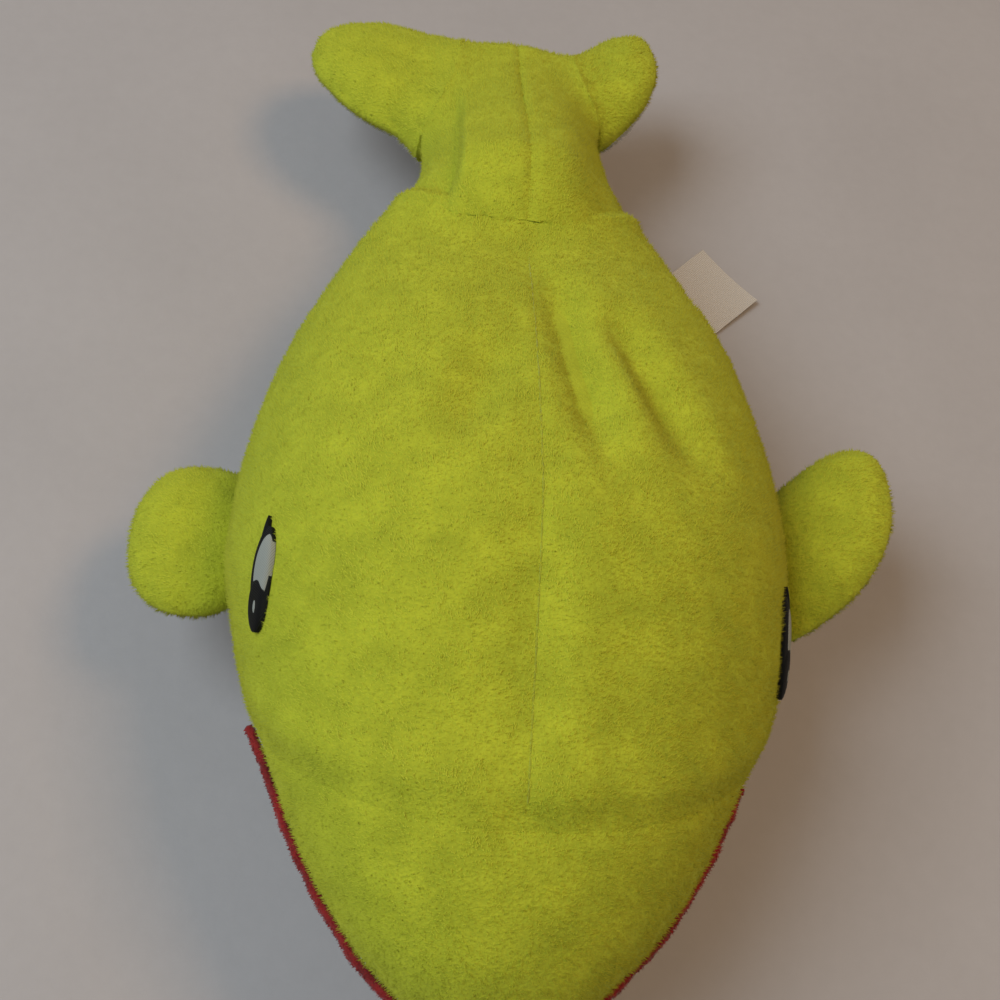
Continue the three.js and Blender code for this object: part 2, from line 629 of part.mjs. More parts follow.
addNode('care_label', labelSheet(), satin);

// Tail: cloth panels round a core, with a seat for each fluke
const flukeSeats = Object.values(flukes).map((limb) => rootBar(limb, limb.rootRadius));
const tailLeft = tailPanel(0, 90, TAIL_TOP_STEPS, vec(halfGap, 0, halfGap));
const tailRight = tailPanel(-90, 0, TAIL_TOP_STEPS, vec(-halfGap, 0, halfGap));
const tailBelly = tailPanel(90, 270, TAIL_BELLY_STEPS, vec(0, 0, -halfGap));
addNode('tail_panel_left', cut(tailLeft, ...flukeSeats), neon);
addNode('tail_panel_right', cut(tailRight, ...flukeSeats), neon);
addNode('tail_belly_panel', cut(tailBelly, ...flukeSeats), white);
const tailCore = tailSolid(TAIL_ROWS, TAIL_CORE_SIDES, -CLOTH - CORE_GAP);
addNode('tail_stuffing', cut(tailCore, ...flukeSeats), fibre);

// Limbs: an upper and a lower cloth half round a core, each trimmed clear of what carries it
function addLimb(name, limb, carrier, bend) {
  const tools = sweptCarrier(limb, carrier, bend);
  addNode(`${name}_top`, cut(limbHalf(limb, 1), ...tools), neon);
  addNode(`${name}_underside`, cut(limbHalf(limb, -1), ...tools), white);
  addNode(`${name}_stuffing`, cut(limbCore(limb), ...tools), fibre);
}

const bodyTool = bodySolid(BODY_TOOL_STEPS, BODY_TOOL_STEPS, JOINT_GAP);
for (const side of ['left', 'right']) {
  addLimb(`flipper_${side}`, flippers[side], bodyTool, FLIPPER_BEND);
  addLimb(`fluke_${side}`, flukes[side], socket, FLUKE_BEND);
}

export default dolphin;
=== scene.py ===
# %% [markdown]
# # A stuffed plush dolphin
# The toy is sewn from flat cloth and filled until it swells. Each piece here is a surface of two parameters, the same
# formula as in the CAD frame, with what sewing and stuffing add to it: seams that pull in, puckers, folds and pile.
# Lengths are in millimetres until a mesh is made.

# %% Frame
import bpy
import numpy as np
from mathutils import Matrix


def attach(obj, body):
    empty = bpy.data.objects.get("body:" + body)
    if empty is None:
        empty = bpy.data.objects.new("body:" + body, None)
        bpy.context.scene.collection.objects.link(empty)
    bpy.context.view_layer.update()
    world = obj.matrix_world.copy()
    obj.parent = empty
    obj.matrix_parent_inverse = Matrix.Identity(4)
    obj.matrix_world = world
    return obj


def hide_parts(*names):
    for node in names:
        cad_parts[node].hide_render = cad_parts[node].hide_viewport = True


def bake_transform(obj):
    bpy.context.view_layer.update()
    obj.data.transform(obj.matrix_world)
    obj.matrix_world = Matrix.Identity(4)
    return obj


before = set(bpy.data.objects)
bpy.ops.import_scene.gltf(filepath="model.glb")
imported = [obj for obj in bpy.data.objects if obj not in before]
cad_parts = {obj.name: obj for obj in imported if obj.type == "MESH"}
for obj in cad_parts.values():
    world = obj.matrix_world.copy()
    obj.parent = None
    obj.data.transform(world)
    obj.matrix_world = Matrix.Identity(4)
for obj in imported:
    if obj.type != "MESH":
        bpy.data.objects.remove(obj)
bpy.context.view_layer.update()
MM = 0.001

# %% [markdown]
# ## Sizes
# A sewn toy has no straight edge to measure from, so a few sizes drive all of it: the egg of the body, the taper of
# the tail and the pillows of the limbs. They are the ones in the frame. A form could be pulled out of a sphere by hand
# instead, but then nothing would keep the cloth on its solid.

# %% Sizes
CLOTH = 2.0
TABLE_CLEARANCE = 0.05
SIDES = {"left": 1, "right": -1}

BODY_HALF_WIDTH, BODY_CROWN, BODY_DEPTH = 44.0, 32.8, 32.0
BODY_NOSE_LENGTH, BODY_REAR_LENGTH = 69.5, 73.5
SIDE_SEAM_HEIGHT = 30.4
SNOUT_POWER, JAW_POWER, NOSE_ROUNDING = 1.3, 1.6, 2.0
FLANK_POWER, RUMP_POWER = 2.1, 1.3
GIRTH_POWER, BELLY_POWER = 2.1, 2.4
FOREHEAD_STATION, FOREHEAD_SWEEP = -0.645, 0.25
GIRTH_LENGTH = 1.25 * (BODY_HALF_WIDTH + BODY_CROWN) / 2
BODY_LENGTH = BODY_NOSE_LENGTH + BODY_REAR_LENGTH

TAIL_AXIS = np.array([0.0, 73.0, 27.5])
TAIL_ROOT_RADIUS, TAIL_ROOT_HALF_WIDTH = 16.0, 19.0
TAIL_END_HALF_WIDTH, TAIL_END_HALF_HEIGHT = 11.5, 6.5
TAIL_TAPER_LENGTH, TAIL_LENGTH, TAIL_DROOP = 43.0, 49.0, 10.0

SEAT_DEPTH = 1.3
PILLOW_POWER, PILLOW_ROUNDING = 2.4, 0.62
FLIPPER = dict(chord=28.5, thickness=11.5, height=22.0, pitch=10.0, radius=5.2, turn_in=3.0, squareness=2.35)
FLIPPER_SIDES = {
    "left": dict(side=1, station=9.0, span=21.5, tip_chord=31.5, lift=30.0, sweep=0.56),
    "right": dict(side=-1, station=6.5, span=13.3, tip_chord=28.5, lift=-4.0, sweep=0.05),
}
FLUKE = dict(root_trail=21.0, tip_chord=21.0, thickness=10.5, middle=34.5, radius=4.6, turn_in=8.0, squareness=2.8)
FLUKE_SIDES = {
    "left": dict(side=1, span=15.0, root_lead=12.0, lift=28.0, sweep=0.65),
    "right": dict(side=-1, span=25.0, root_lead=20.0, lift=2.0, sweep=0.2),
}

LABEL_WIDTH, LABEL_THICKNESS, LABEL_STATION = 16.0, 0.5, 0.85
LABEL_DROP_RUN, LABEL_FLAT_RUN, LABEL_INSET = 22.0, 14.0, 1.1
print(f"body {2 * BODY_HALF_WIDTH:.0f} mm wide and {BODY_LENGTH:.0f} mm long, tail {TAIL_LENGTH:.0f} mm from its bend")

# %% [markdown]
# ## Small numpy tools
# Filled cloth swells, dips and fades from one form into the next, and hardly ever steps. These functions are the words
# for that: a superellipse for a swelling, a smooth ramp for a fade and value noise for what is uneven. Sculpting by
# hand could give the same forms, but formulas can be measured and give the same result each run.

# %% Swellings, fades and noise
def power(value, exponent):
    """The sign of a value times its size raised to a power."""
    return np.sign(value) * np.abs(value) ** exponent


def bulge(share, exponent, rounding=None):
    """A superellipse profile: one at share 0, falling to zero at share 1 or -1."""
    return np.maximum(0, 1 - np.abs(share) ** exponent) ** (1 / (rounding or exponent))


def ramp(value, low, high):
    """A smooth step from 0 at low to 1 at high."""
    t = np.clip((value - low) / (high - low), 0, 1)
    return t * t * (3 - 2 * t)


def unit(vectors):
    """Vectors scaled to length one."""
    return vectors / np.maximum(np.linalg.norm(vectors, axis=-1, keepdims=True), 1e-9)


NOISE_TABLE = np.random.default_rng(7).uniform(-1, 1, (32, 32, 32))


def noise(points, size):
    """Smooth value noise from -1 to 1: random values on a lattice of the given size, blended between its corners."""
    place = np.asarray(points) / size + 11.3
    cell = np.floor(place).astype(int)
    part = place - cell
    part = part * part * (3 - 2 * part)
    total = 0
    for corner in np.ndindex(2, 2, 2):
        weight = np.prod(np.where(np.array(corner) == 1, part, 1 - part), axis=-1)
        i, j, k = np.moveaxis((cell + corner) % 32, -1, 0)
        total = total + weight * NOISE_TABLE[i, j, k]
    return total


def grid(rows, cols):
    """Two parameter arrays from 0 to 1 over a grid of the given numbers of steps."""
    return np.meshgrid(np.linspace(0, 1, rows + 1), np.linspace(0, 1, cols + 1), indexing="ij")


def outward(outer, inner):
    """Unit normals of a grid of points, turned away from the skin inside it."""
    normal = unit(np.cross(np.gradient(outer, axis=0), np.gradient(outer, axis=1)))
    facing = np.einsum("...i,...i->...", normal, outer - inner)
    return normal * np.where(facing < 0, -1, 1)[..., None]


def rotation(axis, degrees):
    """A 3 by 3 matrix that turns about an axis through the origin."""
    return np.array(Matrix.Rotation(np.radians(degrees), 3, axis))


print(f"noise values from {NOISE_TABLE.min():.2f} to {NOISE_TABLE.max():.2f}")

# %% [markdown]
# ## Meshes
# A skin is a grid of points. A piece of cloth is closed by a second skin under it and walls along its open edges. The
# Solidify modifier could thicken it too, but with one thickness, and here the side next to the filling has a form of
# its own.

# %% Skins, walls and objects
CUT_EDGE_ANGLE = 60


def skin_faces(rows, cols, start=0):
    """Triangles over a grid of points that is numbered row by row."""
    number = start + np.arange((rows + 1) * (cols + 1)).reshape(rows + 1, cols + 1)
    a, b, c, d = number[:-1, :-1], number[:-1, 1:], number[1:, 1:], number[1:, :-1]
    return np.concatenate([np.stack([a, b, c], -1).reshape(-1, 3), np.stack([a, c, d], -1).reshape(-1, 3)])


def sheet_mesh(outer, inner):
    """Points and triangles of a closed sheet between two skins on the same grid, with walls along its open edges."""
    rows, cols = outer.shape[0] - 1, outer.shape[1] - 1
    count = outer.shape[0] * outer.shape[1]
    number = np.arange(count).reshape(rows + 1, cols + 1)
    edges = [number[0, :], number[-1, ::-1]]
    if not np.allclose(outer[:, 0], outer[:, -1]):
        edges += [number[:, -1], number[::-1, 0]]
    a, b = (np.concatenate(ends) for ends in zip(*((edge[:-1], edge[1:]) for edge in edges)))
    walls = np.concatenate([np.stack([b, a, a + count], -1), np.stack([b, a + count, b + count], -1)])
    faces = np.concatenate([skin_faces(rows, cols), skin_faces(rows, cols, count)[:, ::-1], walls])
    return np.concatenate([outer.reshape(-1, 3), inner.reshape(-1, 3)]), faces


def welded(points, faces):
    """The same mesh with equal points joined, empty triangles dropped and faces turned outwards."""
    _, first, joined = np.unique(np.round(points, 4), axis=0, return_index=True, return_inverse=True)
    faces = joined.reshape(-1)[faces]
    points = points[first]
    real = (faces[:, 0] != faces[:, 1]) & (faces[:, 1] != faces[:, 2]) & (faces[:, 2] != faces[:, 0])
    faces = faces[real]
    a, b, c = (points[faces[:, k]] for k in range(3))
    volume = np.einsum("ij,ij->", a, np.cross(b, c))
    return points, faces if volume > 0 else faces[:, ::-1]


def make(name, points, faces, *materials, chosen=None, normals=None):
    """A smooth mesh object in metres, from points in millimetres and triangles. Cut edges of cloth stay sharp."""
    mesh = bpy.data.meshes.new(name)
    mesh.vertices.add(len(points))
    mesh.vertices.foreach_set("co", np.ascontiguousarray(points * MM, dtype=np.float32).ravel())
    mesh.loops.add(faces.size)
    mesh.loops.foreach_set("vertex_index", np.ascontiguousarray(faces, dtype=np.int32).ravel())
    mesh.polygons.add(len(faces))
    mesh.polygons.foreach_set("loop_start", np.arange(0, faces.size, 3, dtype=np.int32))
    mesh.polygons.foreach_set("use_smooth", np.ones(len(faces), dtype=bool))
    for material in materials:
        mesh.materials.append(material)
    if chosen is not None:
        mesh.polygons.foreach_set("material_index", chosen.astype(np.int32))
    mesh.update(calc_edges=True)
    if normals is None:
        mesh.set_sharp_from_angle(angle=np.radians(CUT_EDGE_ANGLE))
    else:
        mesh.normals_split_custom_set_from_vertices(normals)
    thing = bpy.data.objects.new(name, mesh)
    bpy.context.scene.collection.objects.link(thing)
    print(f"{name}: {len(points)} points, {len(faces)} triangles")
    return thing


def settle(thing, slot, bodies, start=None, end=None):
    """Ties a piece to one body; a piece between two is left unattached, with its transform applied to its mesh. Its
    slot, start and end are not used.
    """
    if len(bodies) == 1:
        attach(thing, bodies[0])
    else:
        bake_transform(thing)
    return thing


# %% [markdown]
# ## Materials
# Plush is a knitted ground with short pile that stands up from it. The ground shows between the fibres and is a
# little deeper in colour. Embroidery is satin stitch, so its bump runs in close parallel ridges. A picture of cloth
# would bring its own light with it, so the grain comes from noise and waves at a real size in millimetres.

# %% Colours, nodes and shaders
def linear(hex_code):
    """A colour written as sRGB hex, as the linear values that the shader takes."""
    parts = np.array([int(hex_code[k:k + 2], 16) for k in (1, 3, 5)]) / 255
    low, high = parts / 12.92, ((parts + 0.055) / 1.055) ** 2.4
    return (*np.where(parts <= 0.04045, low, high).tolist(), 1.0)


def node(tree, kind, settings=(), **inputs):
    """Adds a node, sets its options and inputs, and links each input that is a socket."""
    made = tree.nodes.new(kind)
    for option, value in dict(settings).items():
        setattr(made, option, value)
    for label, value in inputs.items():
        socket = made.inputs[label.replace("_", " ")]
        if isinstance(value, bpy.types.NodeSocket):
            tree.links.new(value, socket)
        else:
            socket.default_value = value
    return made


def material(name, roughness, sheen=0.0, sheen_colour="#ffffff"):
    """A bare material with its shader, whose even values sit on the shader's own sockets."""
    made = bpy.data.materials.new(name)
    made.use_nodes = True
    shader = made.node_tree.nodes["Principled BSDF"]
    shader.inputs["Roughness"].default_value = roughness
    shader.inputs["Sheen Weight"].default_value = sheen
    shader.inputs["Sheen Roughness"].default_value = 0.5
    shader.inputs["Sheen Tint"].default_value = linear(sheen_colour)
    return made, made.node_tree, shader


def cloth_material(name, light, deep, grain, roughness=0.9, sheen=0.3, sheen_colour="#ffffff", bump=0.5):
    """Cloth whose colour and bump follow a fine grain, in millimetres, and slow patches of pile laid either way."""
    made, tree, shader = material(name, roughness, sheen, sheen_colour)
    place = node(tree, "ShaderNodeTexCoord").outputs["Object"]
    fine = node(tree, "ShaderNodeTexNoise", Vector=place, Scale=1 / (grain * MM), Detail=3.0, Roughness=0.6)
    slow = node(tree, "ShaderNodeTexNoise", Vector=place, Scale=1 / (12 * grain * MM), Detail=2.0)
    both = node(tree, "ShaderNodeMath", {"operation": "MULTIPLY_ADD"}).inputs
    both[1].default_value = 0.6
    tree.links.new(fine.outputs["Fac"], both[0])
    tree.links.new(slow.outputs["Fac"], both[2])
    shade = node(tree, "ShaderNodeMapRange", Value=both[0].node.outputs[0], From_Min=0.5, From_Max=1.1)
    colour = node(tree, "ShaderNodeMix", {"data_type": "RGBA"})
    tree.links.new(shade.outputs[0], colour.inputs[0])
    colour.inputs[6].default_value = linear(deep)
    colour.inputs[7].default_value = linear(light)
    tree.links.new(colour.outputs[2], shader.inputs["Base Color"])
    lift = node(tree, "ShaderNodeBump", Strength=bump, Distance=grain * MM, Height=fine.outputs["Fac"])
    tree.links.new(lift.outputs[0], shader.inputs["Normal"])
    return made


def stitch_material(name, light, deep, pitch, direction):
    """Satin stitch: close parallel threads, as ridges across the given direction, pitch millimetres apart."""
    made, tree, shader = material(name, 0.6)
    shader.inputs["Specular IOR Level"].default_value = 0.2
    place = node(tree, "ShaderNodeTexCoord").outputs["Object"]
    turned = node(tree, "ShaderNodeMapping", Vector=place, Rotation=direction)
    rows = node(tree, "ShaderNodeTexWave", {"wave_type": "BANDS"}, Vector=turned.outputs[0],
                Scale=0.314 / (pitch * MM), Distortion=1.2, Detail=2.0)
    colour = node(tree, "ShaderNodeMix", {"data_type": "RGBA"})
    tree.links.new(rows.outputs["Fac"], colour.inputs[0])
    colour.inputs[6].default_value = linear(deep)
    colour.inputs[7].default_value = linear(light)
    tree.links.new(colour.outputs[2], shader.inputs["Base Color"])
    lift = node(tree, "ShaderNodeBump", Strength=0.6, Distance=0.2 * MM, Height=rows.outputs["Fac"])
    tree.links.new(lift.outputs[0], shader.inputs["Normal"])
    return made


def plain_material(name, colour, roughness, sheen=0.3):
    """Fibres too thin for a pattern of their own: one colour, rough, with a little sheen."""
    made, _, shader = material(name, roughness, sheen, colour)
    shader.inputs["Base Color"].default_value = linear(colour)
    return made


# %% [markdown]
# ## Cloth, thread and ribbon
# The plush is knitted polyester: rough, with a pale sheen where the eye grazes it. Its pile is drawn as fibres of two
# shades, because no two lie alike. The eyes are satin stitch, a little smoother, and the mouth is a fuzzy yarn. Each
# could be one flat colour at this distance, but the toy is also seen from near.

# %% Cloth, thread and ribbon
# Knitted ground of the plush, loops about half a millimetre wide: matt, and deeper than the pile over it.
NEON = cloth_material("neon plush ground", "#bec528", "#9ca519", 0.5, sheen_colour="#e8f060")
WHITE = cloth_material("white plush ground", "#dcdcd4", "#b9b9b0", 0.5)
# Carded polyester filling: loose tufts, with soft deep shadows between them.
FIBREFILL = cloth_material("polyester fibrefill", "#efeeea", "#d6d5cf", 1.2, bump=0.9)
# Twisted yarn and spun thread: fine plies that break up the light along them.
YARN = cloth_material("red embroidery yarn", "#a01c18", "#6a110e", 0.35)
THREAD = cloth_material("olive sewing thread", "#b0b626", "#959b1d", 0.3)
# Satin stitch and woven ribbon: close parallel threads, smoother across than along.
EYE_THREADS, RIBBON_THREADS = (0.0, 0.0, 0.6), (0.0, 0.0, 0.75)
BLACK = stitch_material("black satin stitch", "#141513", "#080908", 0.25, EYE_THREADS)
EYE_WHITE = stitch_material("white satin stitch", "#abafa4", "#94988d", 0.25, EYE_THREADS)
SATIN = stitch_material("cream satin ribbon", "#d9d0c2", "#c4bbab", 0.35, RIBBON_THREADS)
# Cut pile and yarn fuzz: fibres thinner than a pixel, so each has one even colour, light or deep.
NEON_PILE = [plain_material("neon plush pile", "#c4c82e", 0.85),
             plain_material("neon plush pile, deep", "#b7bb27", 0.85)]
WHITE_PILE = [plain_material("white plush pile", "#e6e6df", 0.9),
              plain_material("white plush pile, deep", "#cfcfc6", 0.9)]
RED_PILE = [plain_material("red yarn fuzz", "#ac211c", 0.85),
            plain_material("red yarn fuzz, deep", "#7c1512", 0.85)]
print("materials:", ", ".join(made.name for made in bpy.data.materials))

# %% [markdown]
# ## Pile
# Each fibre is a thin closed needle with three sides. Its root is a random point of the skin and it leans with the
# nap, more or less, so that the cloth is soft at its outline. Its shading normals are the skin's, nearly, because
# light comes through such fine fibres and they don't show a dark side of their own. Blender's hair would look finer,
# but it isn't a mesh and would be lost in the export.

# %% Pile
PILE_LENGTH, PILE_RADIUS, CLUMP_SIZE, STRAY, DEEP_SHARE = 0.75, 0.07, 2.5, 0.3, 0.4
NEON_DENSITY, BELLY_DENSITY, TAIL_BELLY_DENSITY, LIMB_BELLY_DENSITY, FUZZ_DENSITY = 6.8, 2.8, 3.0, 5.0, 16.0


def pile(name, skin, lining, per_mm2, length, colours, seed, nap=(0.0, 1.0, -0.2), lean=0.5, cover=None):
    """Fibres over a skin, away from its lining: a root on the skin, a tip along the normal mixed with the nap, and
    three base corners. Cover is the share of fibres to keep at each grid point."""
    rng = np.random.default_rng(seed)
    a, b, c, d = (skin[i, j].reshape(-1, 3) for i, j in (
        (slice(None, -1), slice(None, -1)), (slice(None, -1), slice(1, None)),
        (slice(1, None), slice(1, None)), (slice(1, None), slice(None, -1))))
    normal = np.cross(c - a, d - b)
    outside = np.einsum("ij,ij->i", normal, a - lining[:-1, :-1].reshape(-1, 3))
    normal = normal * np.where(outside < 0, -1, 1)[:, None]
    area = np.linalg.norm(normal, axis=1) / 2
    area = area if cover is None else area * cover[:-1, :-1].ravel()
    count = int(area.sum() * per_mm2)
    chosen = np.searchsorted(np.cumsum(area) / area.sum(), rng.random(count)).clip(0, len(area) - 1)
    u, v = rng.random((2, count, 1))
    root = (a[chosen] * (1 - u) + b[chosen] * u) * (1 - v) + (d[chosen] * (1 - u) + c[chosen] * u) * v
    up = unit(normal)[chosen]
    along = np.asarray(nap) - up * (up @ np.asarray(nap))[:, None]
    clump = noise(root, CLUMP_SIZE)[:, None]
    direction = unit(up + (lean + STRAY * clump) * along + STRAY * rng.normal(size=(count, 3)))
    tall = length * (0.75 + 0.35 * clump + 0.25 * rng.normal(size=(count, 1))).clip(0.3, 1.6)
    side = unit(np.cross(direction, rng.normal(size=(count, 3))))
    other = np.cross(direction, side)
    turn = 2 * np.pi * np.arange(3)[:, None, None] / 3
    base = root + PILE_RADIUS * (np.cos(turn) * side + np.sin(turn) * other)
    points = np.concatenate([base, (root + tall * direction)[None]]).transpose(1, 0, 2).reshape(-1, 3)
    points[:, 2] = np.maximum(points[:, 2], TABLE_CLEARANCE)
    corner = np.array([[0, 1, 3], [1, 2, 3], [2, 0, 3], [0, 2, 1]])
    faces = (4 * np.arange(count)[:, None, None] + corner).reshape(-1, 3)
    shade = np.repeat(rng.random(count) + 0.5 * clump[:, 0] < DEEP_SHARE, 4)
    facing = np.repeat(unit(up + 0.35 * direction), 4, axis=0)
    return make(name, points, faces, *colours, chosen=shade, normals=facing)


# %% [markdown]
# ## Body
# An egg with a blunt nose, measured by station, from -1 at the nose to 1 at the rear, and by angle round it, from 0
# at the crown to 90 at the side seam and 180 under the belly. A scaled sphere is near it, but its nose would be round
# and its belly wouldn't lie flat.

# %% Body form
def body_radii(station, grow=0.0):
    """Half width, crown and depth of the egg at a station: a size times a superellipse profile, each with its own."""
    def profile(nose_power, rear_power):
        return np.where(station < 0, bulge(station, nose_power, NOSE_ROUNDING), bulge(station, rear_power))

    return ((BODY_HALF_WIDTH + grow) * profile(SNOUT_POWER, FLANK_POWER),
            (BODY_CROWN + grow) * profile(SNOUT_POWER, RUMP_POWER),
            (BODY_DEPTH + grow) * profile(JAW_POWER, FLANK_POWER))


def body_surface(station, angle, grow=0.0):
    """The egg: a superellipse section at each station, from its half width, crown and depth there."""
    length = np.where(station < 0, BODY_NOSE_LENGTH, BODY_REAR_LENGTH) + grow
    width, crown, depth = body_radii(station, grow)
    across, up = np.sin(np.radians(angle)), np.cos(np.radians(angle))
    rise = np.where(up > 0, crown * power(up, 2 / GIRTH_POWER), depth * power(up, 2 / BELLY_POWER))
    height = np.maximum(SIDE_SEAM_HEIGHT + rise, np.maximum(-grow, 0))
    return np.stack([width * power(across, 2 / GIRTH_POWER), station * length, height], -1)


def body_level(points):
    """Below zero inside the egg and above zero outside it."""
    x, y, z = np.moveaxis(points, -1, 0)
    station = np.clip(np.where(y < 0, y / BODY_NOSE_LENGTH, y / BODY_REAR_LENGTH), -0.999, 0.999)
    above = z > SIDE_SEAM_HEIGHT
    width, crown, depth = body_radii(station)
    rise = np.abs(z - SIDE_SEAM_HEIGHT) / np.where(above, crown, depth)
    level = np.abs(x / width) ** GIRTH_POWER + rise ** np.where(above, GIRTH_POWER, BELLY_POWER) - 1
    return np.where((y > BODY_REAR_LENGTH) | (y < -BODY_NOSE_LENGTH), 1.0, level)


print("top of the back, mm:", body_surface(np.array(0.0), np.array(0.0)).round(1))

# %% [markdown]
# ## Seams and folds
# A seam holds the cloth in, so the cloth dips towards it and puckers, and where the thread was pulled too tight a fold
# runs off from it. Cutting the pattern flat and sewing it in a cloth run could show all that. Here each dip is a small
# formula of the distance from its seam, because the folds are placed as in the photograph.

# %% Seams and folds
MOUTH_END, SEAM_DROP = (-0.45, -0.28), 9


def forehead_station(angle):
    """Where the forehead seam runs: swept back from the crown to the sides."""
    return FOREHEAD_STATION + FOREHEAD_SWEEP * (angle / 90) ** 2


def seam_angle(station):
    """Where the side seam runs: along the widest line at the mouth, and lower behind it."""
    return 90 + SEAM_DROP * ramp(station, *MOUTH_END)


def fold(points, first, last, width, depth):
    """A pulled crease: a groove along a line in plan, with a soft swelling beside it, that fades at both ends."""
    first, last = np.array(first), np.array(last)
    way = last - first
    far = points[..., :2] - first
    t = far @ way / (way @ way)
    off = (far[..., 0] * way[1] - far[..., 1] * way[0]) / np.linalg.norm(way) / width
    fade = ramp(t, -0.15, 0.25) * (1 - ramp(t, 0.6, 1.15))
    return depth * fade * (0.2 * np.exp(-(np.abs(off) - 1.6) ** 2) - np.exp(-off ** 2))


def seam_pull(distance, width, depth):
    """How far cloth is drawn in at a seam the given distance away."""
    return -depth * np.maximum(0, 1 - distance / width) ** 2


def puckers(points, distance, reach):
    """Short ripples that start at a seam and die out over the given reach."""
    return 0.35 * noise(points, 3.2) * np.exp(-distance / reach)


def stuffing_lumps(points):
    """Uneven filling: broad swellings and smaller lumps."""
    return 0.7 * noise(points, 26.0) + 0.25 * noise(points + 40, 11.0)


def seam_distances(station, angle):
    """How far a point of the body lies from the dorsal seam, the side seam and the forehead seam, the last one with
    its sign, and whether it lies above the side seam."""
    girth = GIRTH_LENGTH * bulge(station, 2)
    flank = np.where(np.abs(angle) > 180, 360 - np.abs(angle), np.abs(angle))
    seam = seam_angle(station)
    behind = (station - forehead_station(np.minimum(flank, 90))) * BODY_LENGTH / 2
    return flank / 90 * girth, np.abs(seam - flank) / 90 * girth, behind, flank < seam


print(f"forehead seam from station {FOREHEAD_STATION} at the crown to {forehead_station(90):.3f} at the sides")

# %% [markdown]
# ## Stuffing
# The filling presses the cloth out between its seams. A closed skin of the body is held along the side and dorsal
# seams, the tight ones, and blown up by the cloth solver at ten times its size, with no gravity. What it adds to the
# egg is kept as a map over the skin, because the panels are cut from it later, on grids of their own.

# %% Stuffing run
RUN_ROWS, RUN_COLS, RUN_FRAMES, RUN_SCALE = 90, 120, 20, 10.0
RUN_PRESSURE, RUN_BENDING, RUN_CAP, SEAM_HOLD = 20.0, 10.0, 3.0, 1.6


def stuffed_map():
    """Runs the cloth solver on the skin of the body and returns how far each of its points moved outwards."""
    row, col = grid(RUN_ROWS, RUN_COLS)
    station, angle = -np.cos(row * np.pi), 360 * col
    points = body_surface(station, angle)
    flat = RUN_SCALE * points.reshape(-1, 3)
    _, first, joined = np.unique(np.round(flat, 4), axis=0, return_index=True, return_inverse=True)
    thing = make("skin_run", *welded(flat, skin_faces(RUN_ROWS, RUN_COLS)), NEON)
    dorsal, side, behind, upper = seam_distances(station, angle)
    nearest = np.minimum(side, np.where(upper & (behind > 0), dorsal, 99))
    held = np.flatnonzero(nearest.ravel()[first] < SEAM_HOLD)
    thing.vertex_groups.new(name="seams").add(held.tolist(), 1.0, "REPLACE")
    cloth = thing.modifiers.new("cloth", "CLOTH")
    cloth.settings.vertex_group_mass = "seams"
    cloth.settings.use_pressure = True
    cloth.settings.uniform_pressure_force = RUN_PRESSURE
    cloth.settings.bending_stiffness = RUN_BENDING
    cloth.settings.effector_weights.gravity = 0
    cloth.collision_settings.use_collision = False
    cloth.point_cache.frame_end = RUN_FRAMES
    scene = bpy.context.scene
    for step in range(1, RUN_FRAMES + 1):
        scene.frame_set(step)
    blown = thing.evaluated_get(bpy.context.evaluated_depsgraph_get()).data
    place = np.empty(3 * len(blown.vertices))
    blown.vertices.foreach_get("co", place)
    moved = place.reshape(-1, 3)[joined.reshape(-1)].reshape(points.shape) / (RUN_SCALE * MM) - points
    mesh = thing.data
    bpy.data.objects.remove(thing)
    bpy.data.meshes.remove(mesh)
    scene.frame_set(1)
    out = np.einsum("...i,...i->...", moved, outward(points, body_surface(station, angle, -CLOTH)))
    return np.clip(out, -RUN_CAP, RUN_CAP)


def between(values, row, col):
    """Values of a map at rows and columns from 0 to 1, mixed from the four grid points round each place."""
    down, across = row * (values.shape[0] - 1), col * (values.shape[1] - 1)
    i = np.clip(down.astype(int), 0, values.shape[0] - 2)
    j = np.clip(across.astype(int), 0, values.shape[1] - 2)
    u, v = down - i, across - j
    return ((values[i, j] * (1 - v) + values[i, j + 1] * v) * (1 - u)
            + (values[i + 1, j] * (1 - v) + values[i + 1, j + 1] * v) * u)


STUFFED = stuffed_map()
print(f"the filling moves the skin by {STUFFED.min():.2f} to {STUFFED.max():.2f} mm")

# %% [markdown]
# ## Swelling of the body
# What the run leaves out is added one by one: dents along the seams, uneven lumps of filling, the cheek, rump and
# haunch that stand out, and the three folds beside the dorsal seam. All are lengths along the skin's normal, so they
# can be summed.

# %% Swelling of the body
# Width and depth of the dent along each seam, and how far the puckers reach from it.
SIDE_DENT, BELLY_DENT, DORSAL_DENT, FOREHEAD_DENT = (4.0, 1.5), (12.0, 2.4), (1.6, 0.25), (3.0, 0.2)
SIDE_PUCKERS, DORSAL_PUCKERS, DORSAL_START = 4.0, 3.0, 5
# Height, station and its spread, angle and its spread: the rump on both sides, then the left cheek, haunch and lip.
RUMP = (2.4, 0.86, 0.11, 75, 35)
LEFT_SWELLINGS = ((2.0, -0.24, 0.2, 88, 30), (1.8, 0.62, 0.18, 80, 35), (-1.2, -0.9, 0.12, 85, 35))
# Height, distance from its seam and spread: along the left of the dorsal seam, and behind the forehead seam.
DORSAL_ROLL, FOREHEAD_ROLL = (0.7, 4.0, 3.2), (0.9, 6.0, 4.5)
# First and last point in plan, width and depth.
FOLDS = (
    ((4.0, 45.0), (9.5, 4.0), 3.4, 3.1),
    ((11.5, 38.0), (24.0, 7.0), 3.8, 2.7),
    ((-6.0, 28.0), (-12.0, 8.0), 4.0, 1.5),
)


def mound(station, angle, height, middle, length, turned, spread):
    """A soft swelling: a height times a bell curve of the station times one of the angle."""
    return height * np.exp(-((station - middle) / length) ** 2 - ((angle - turned) / spread) ** 2)


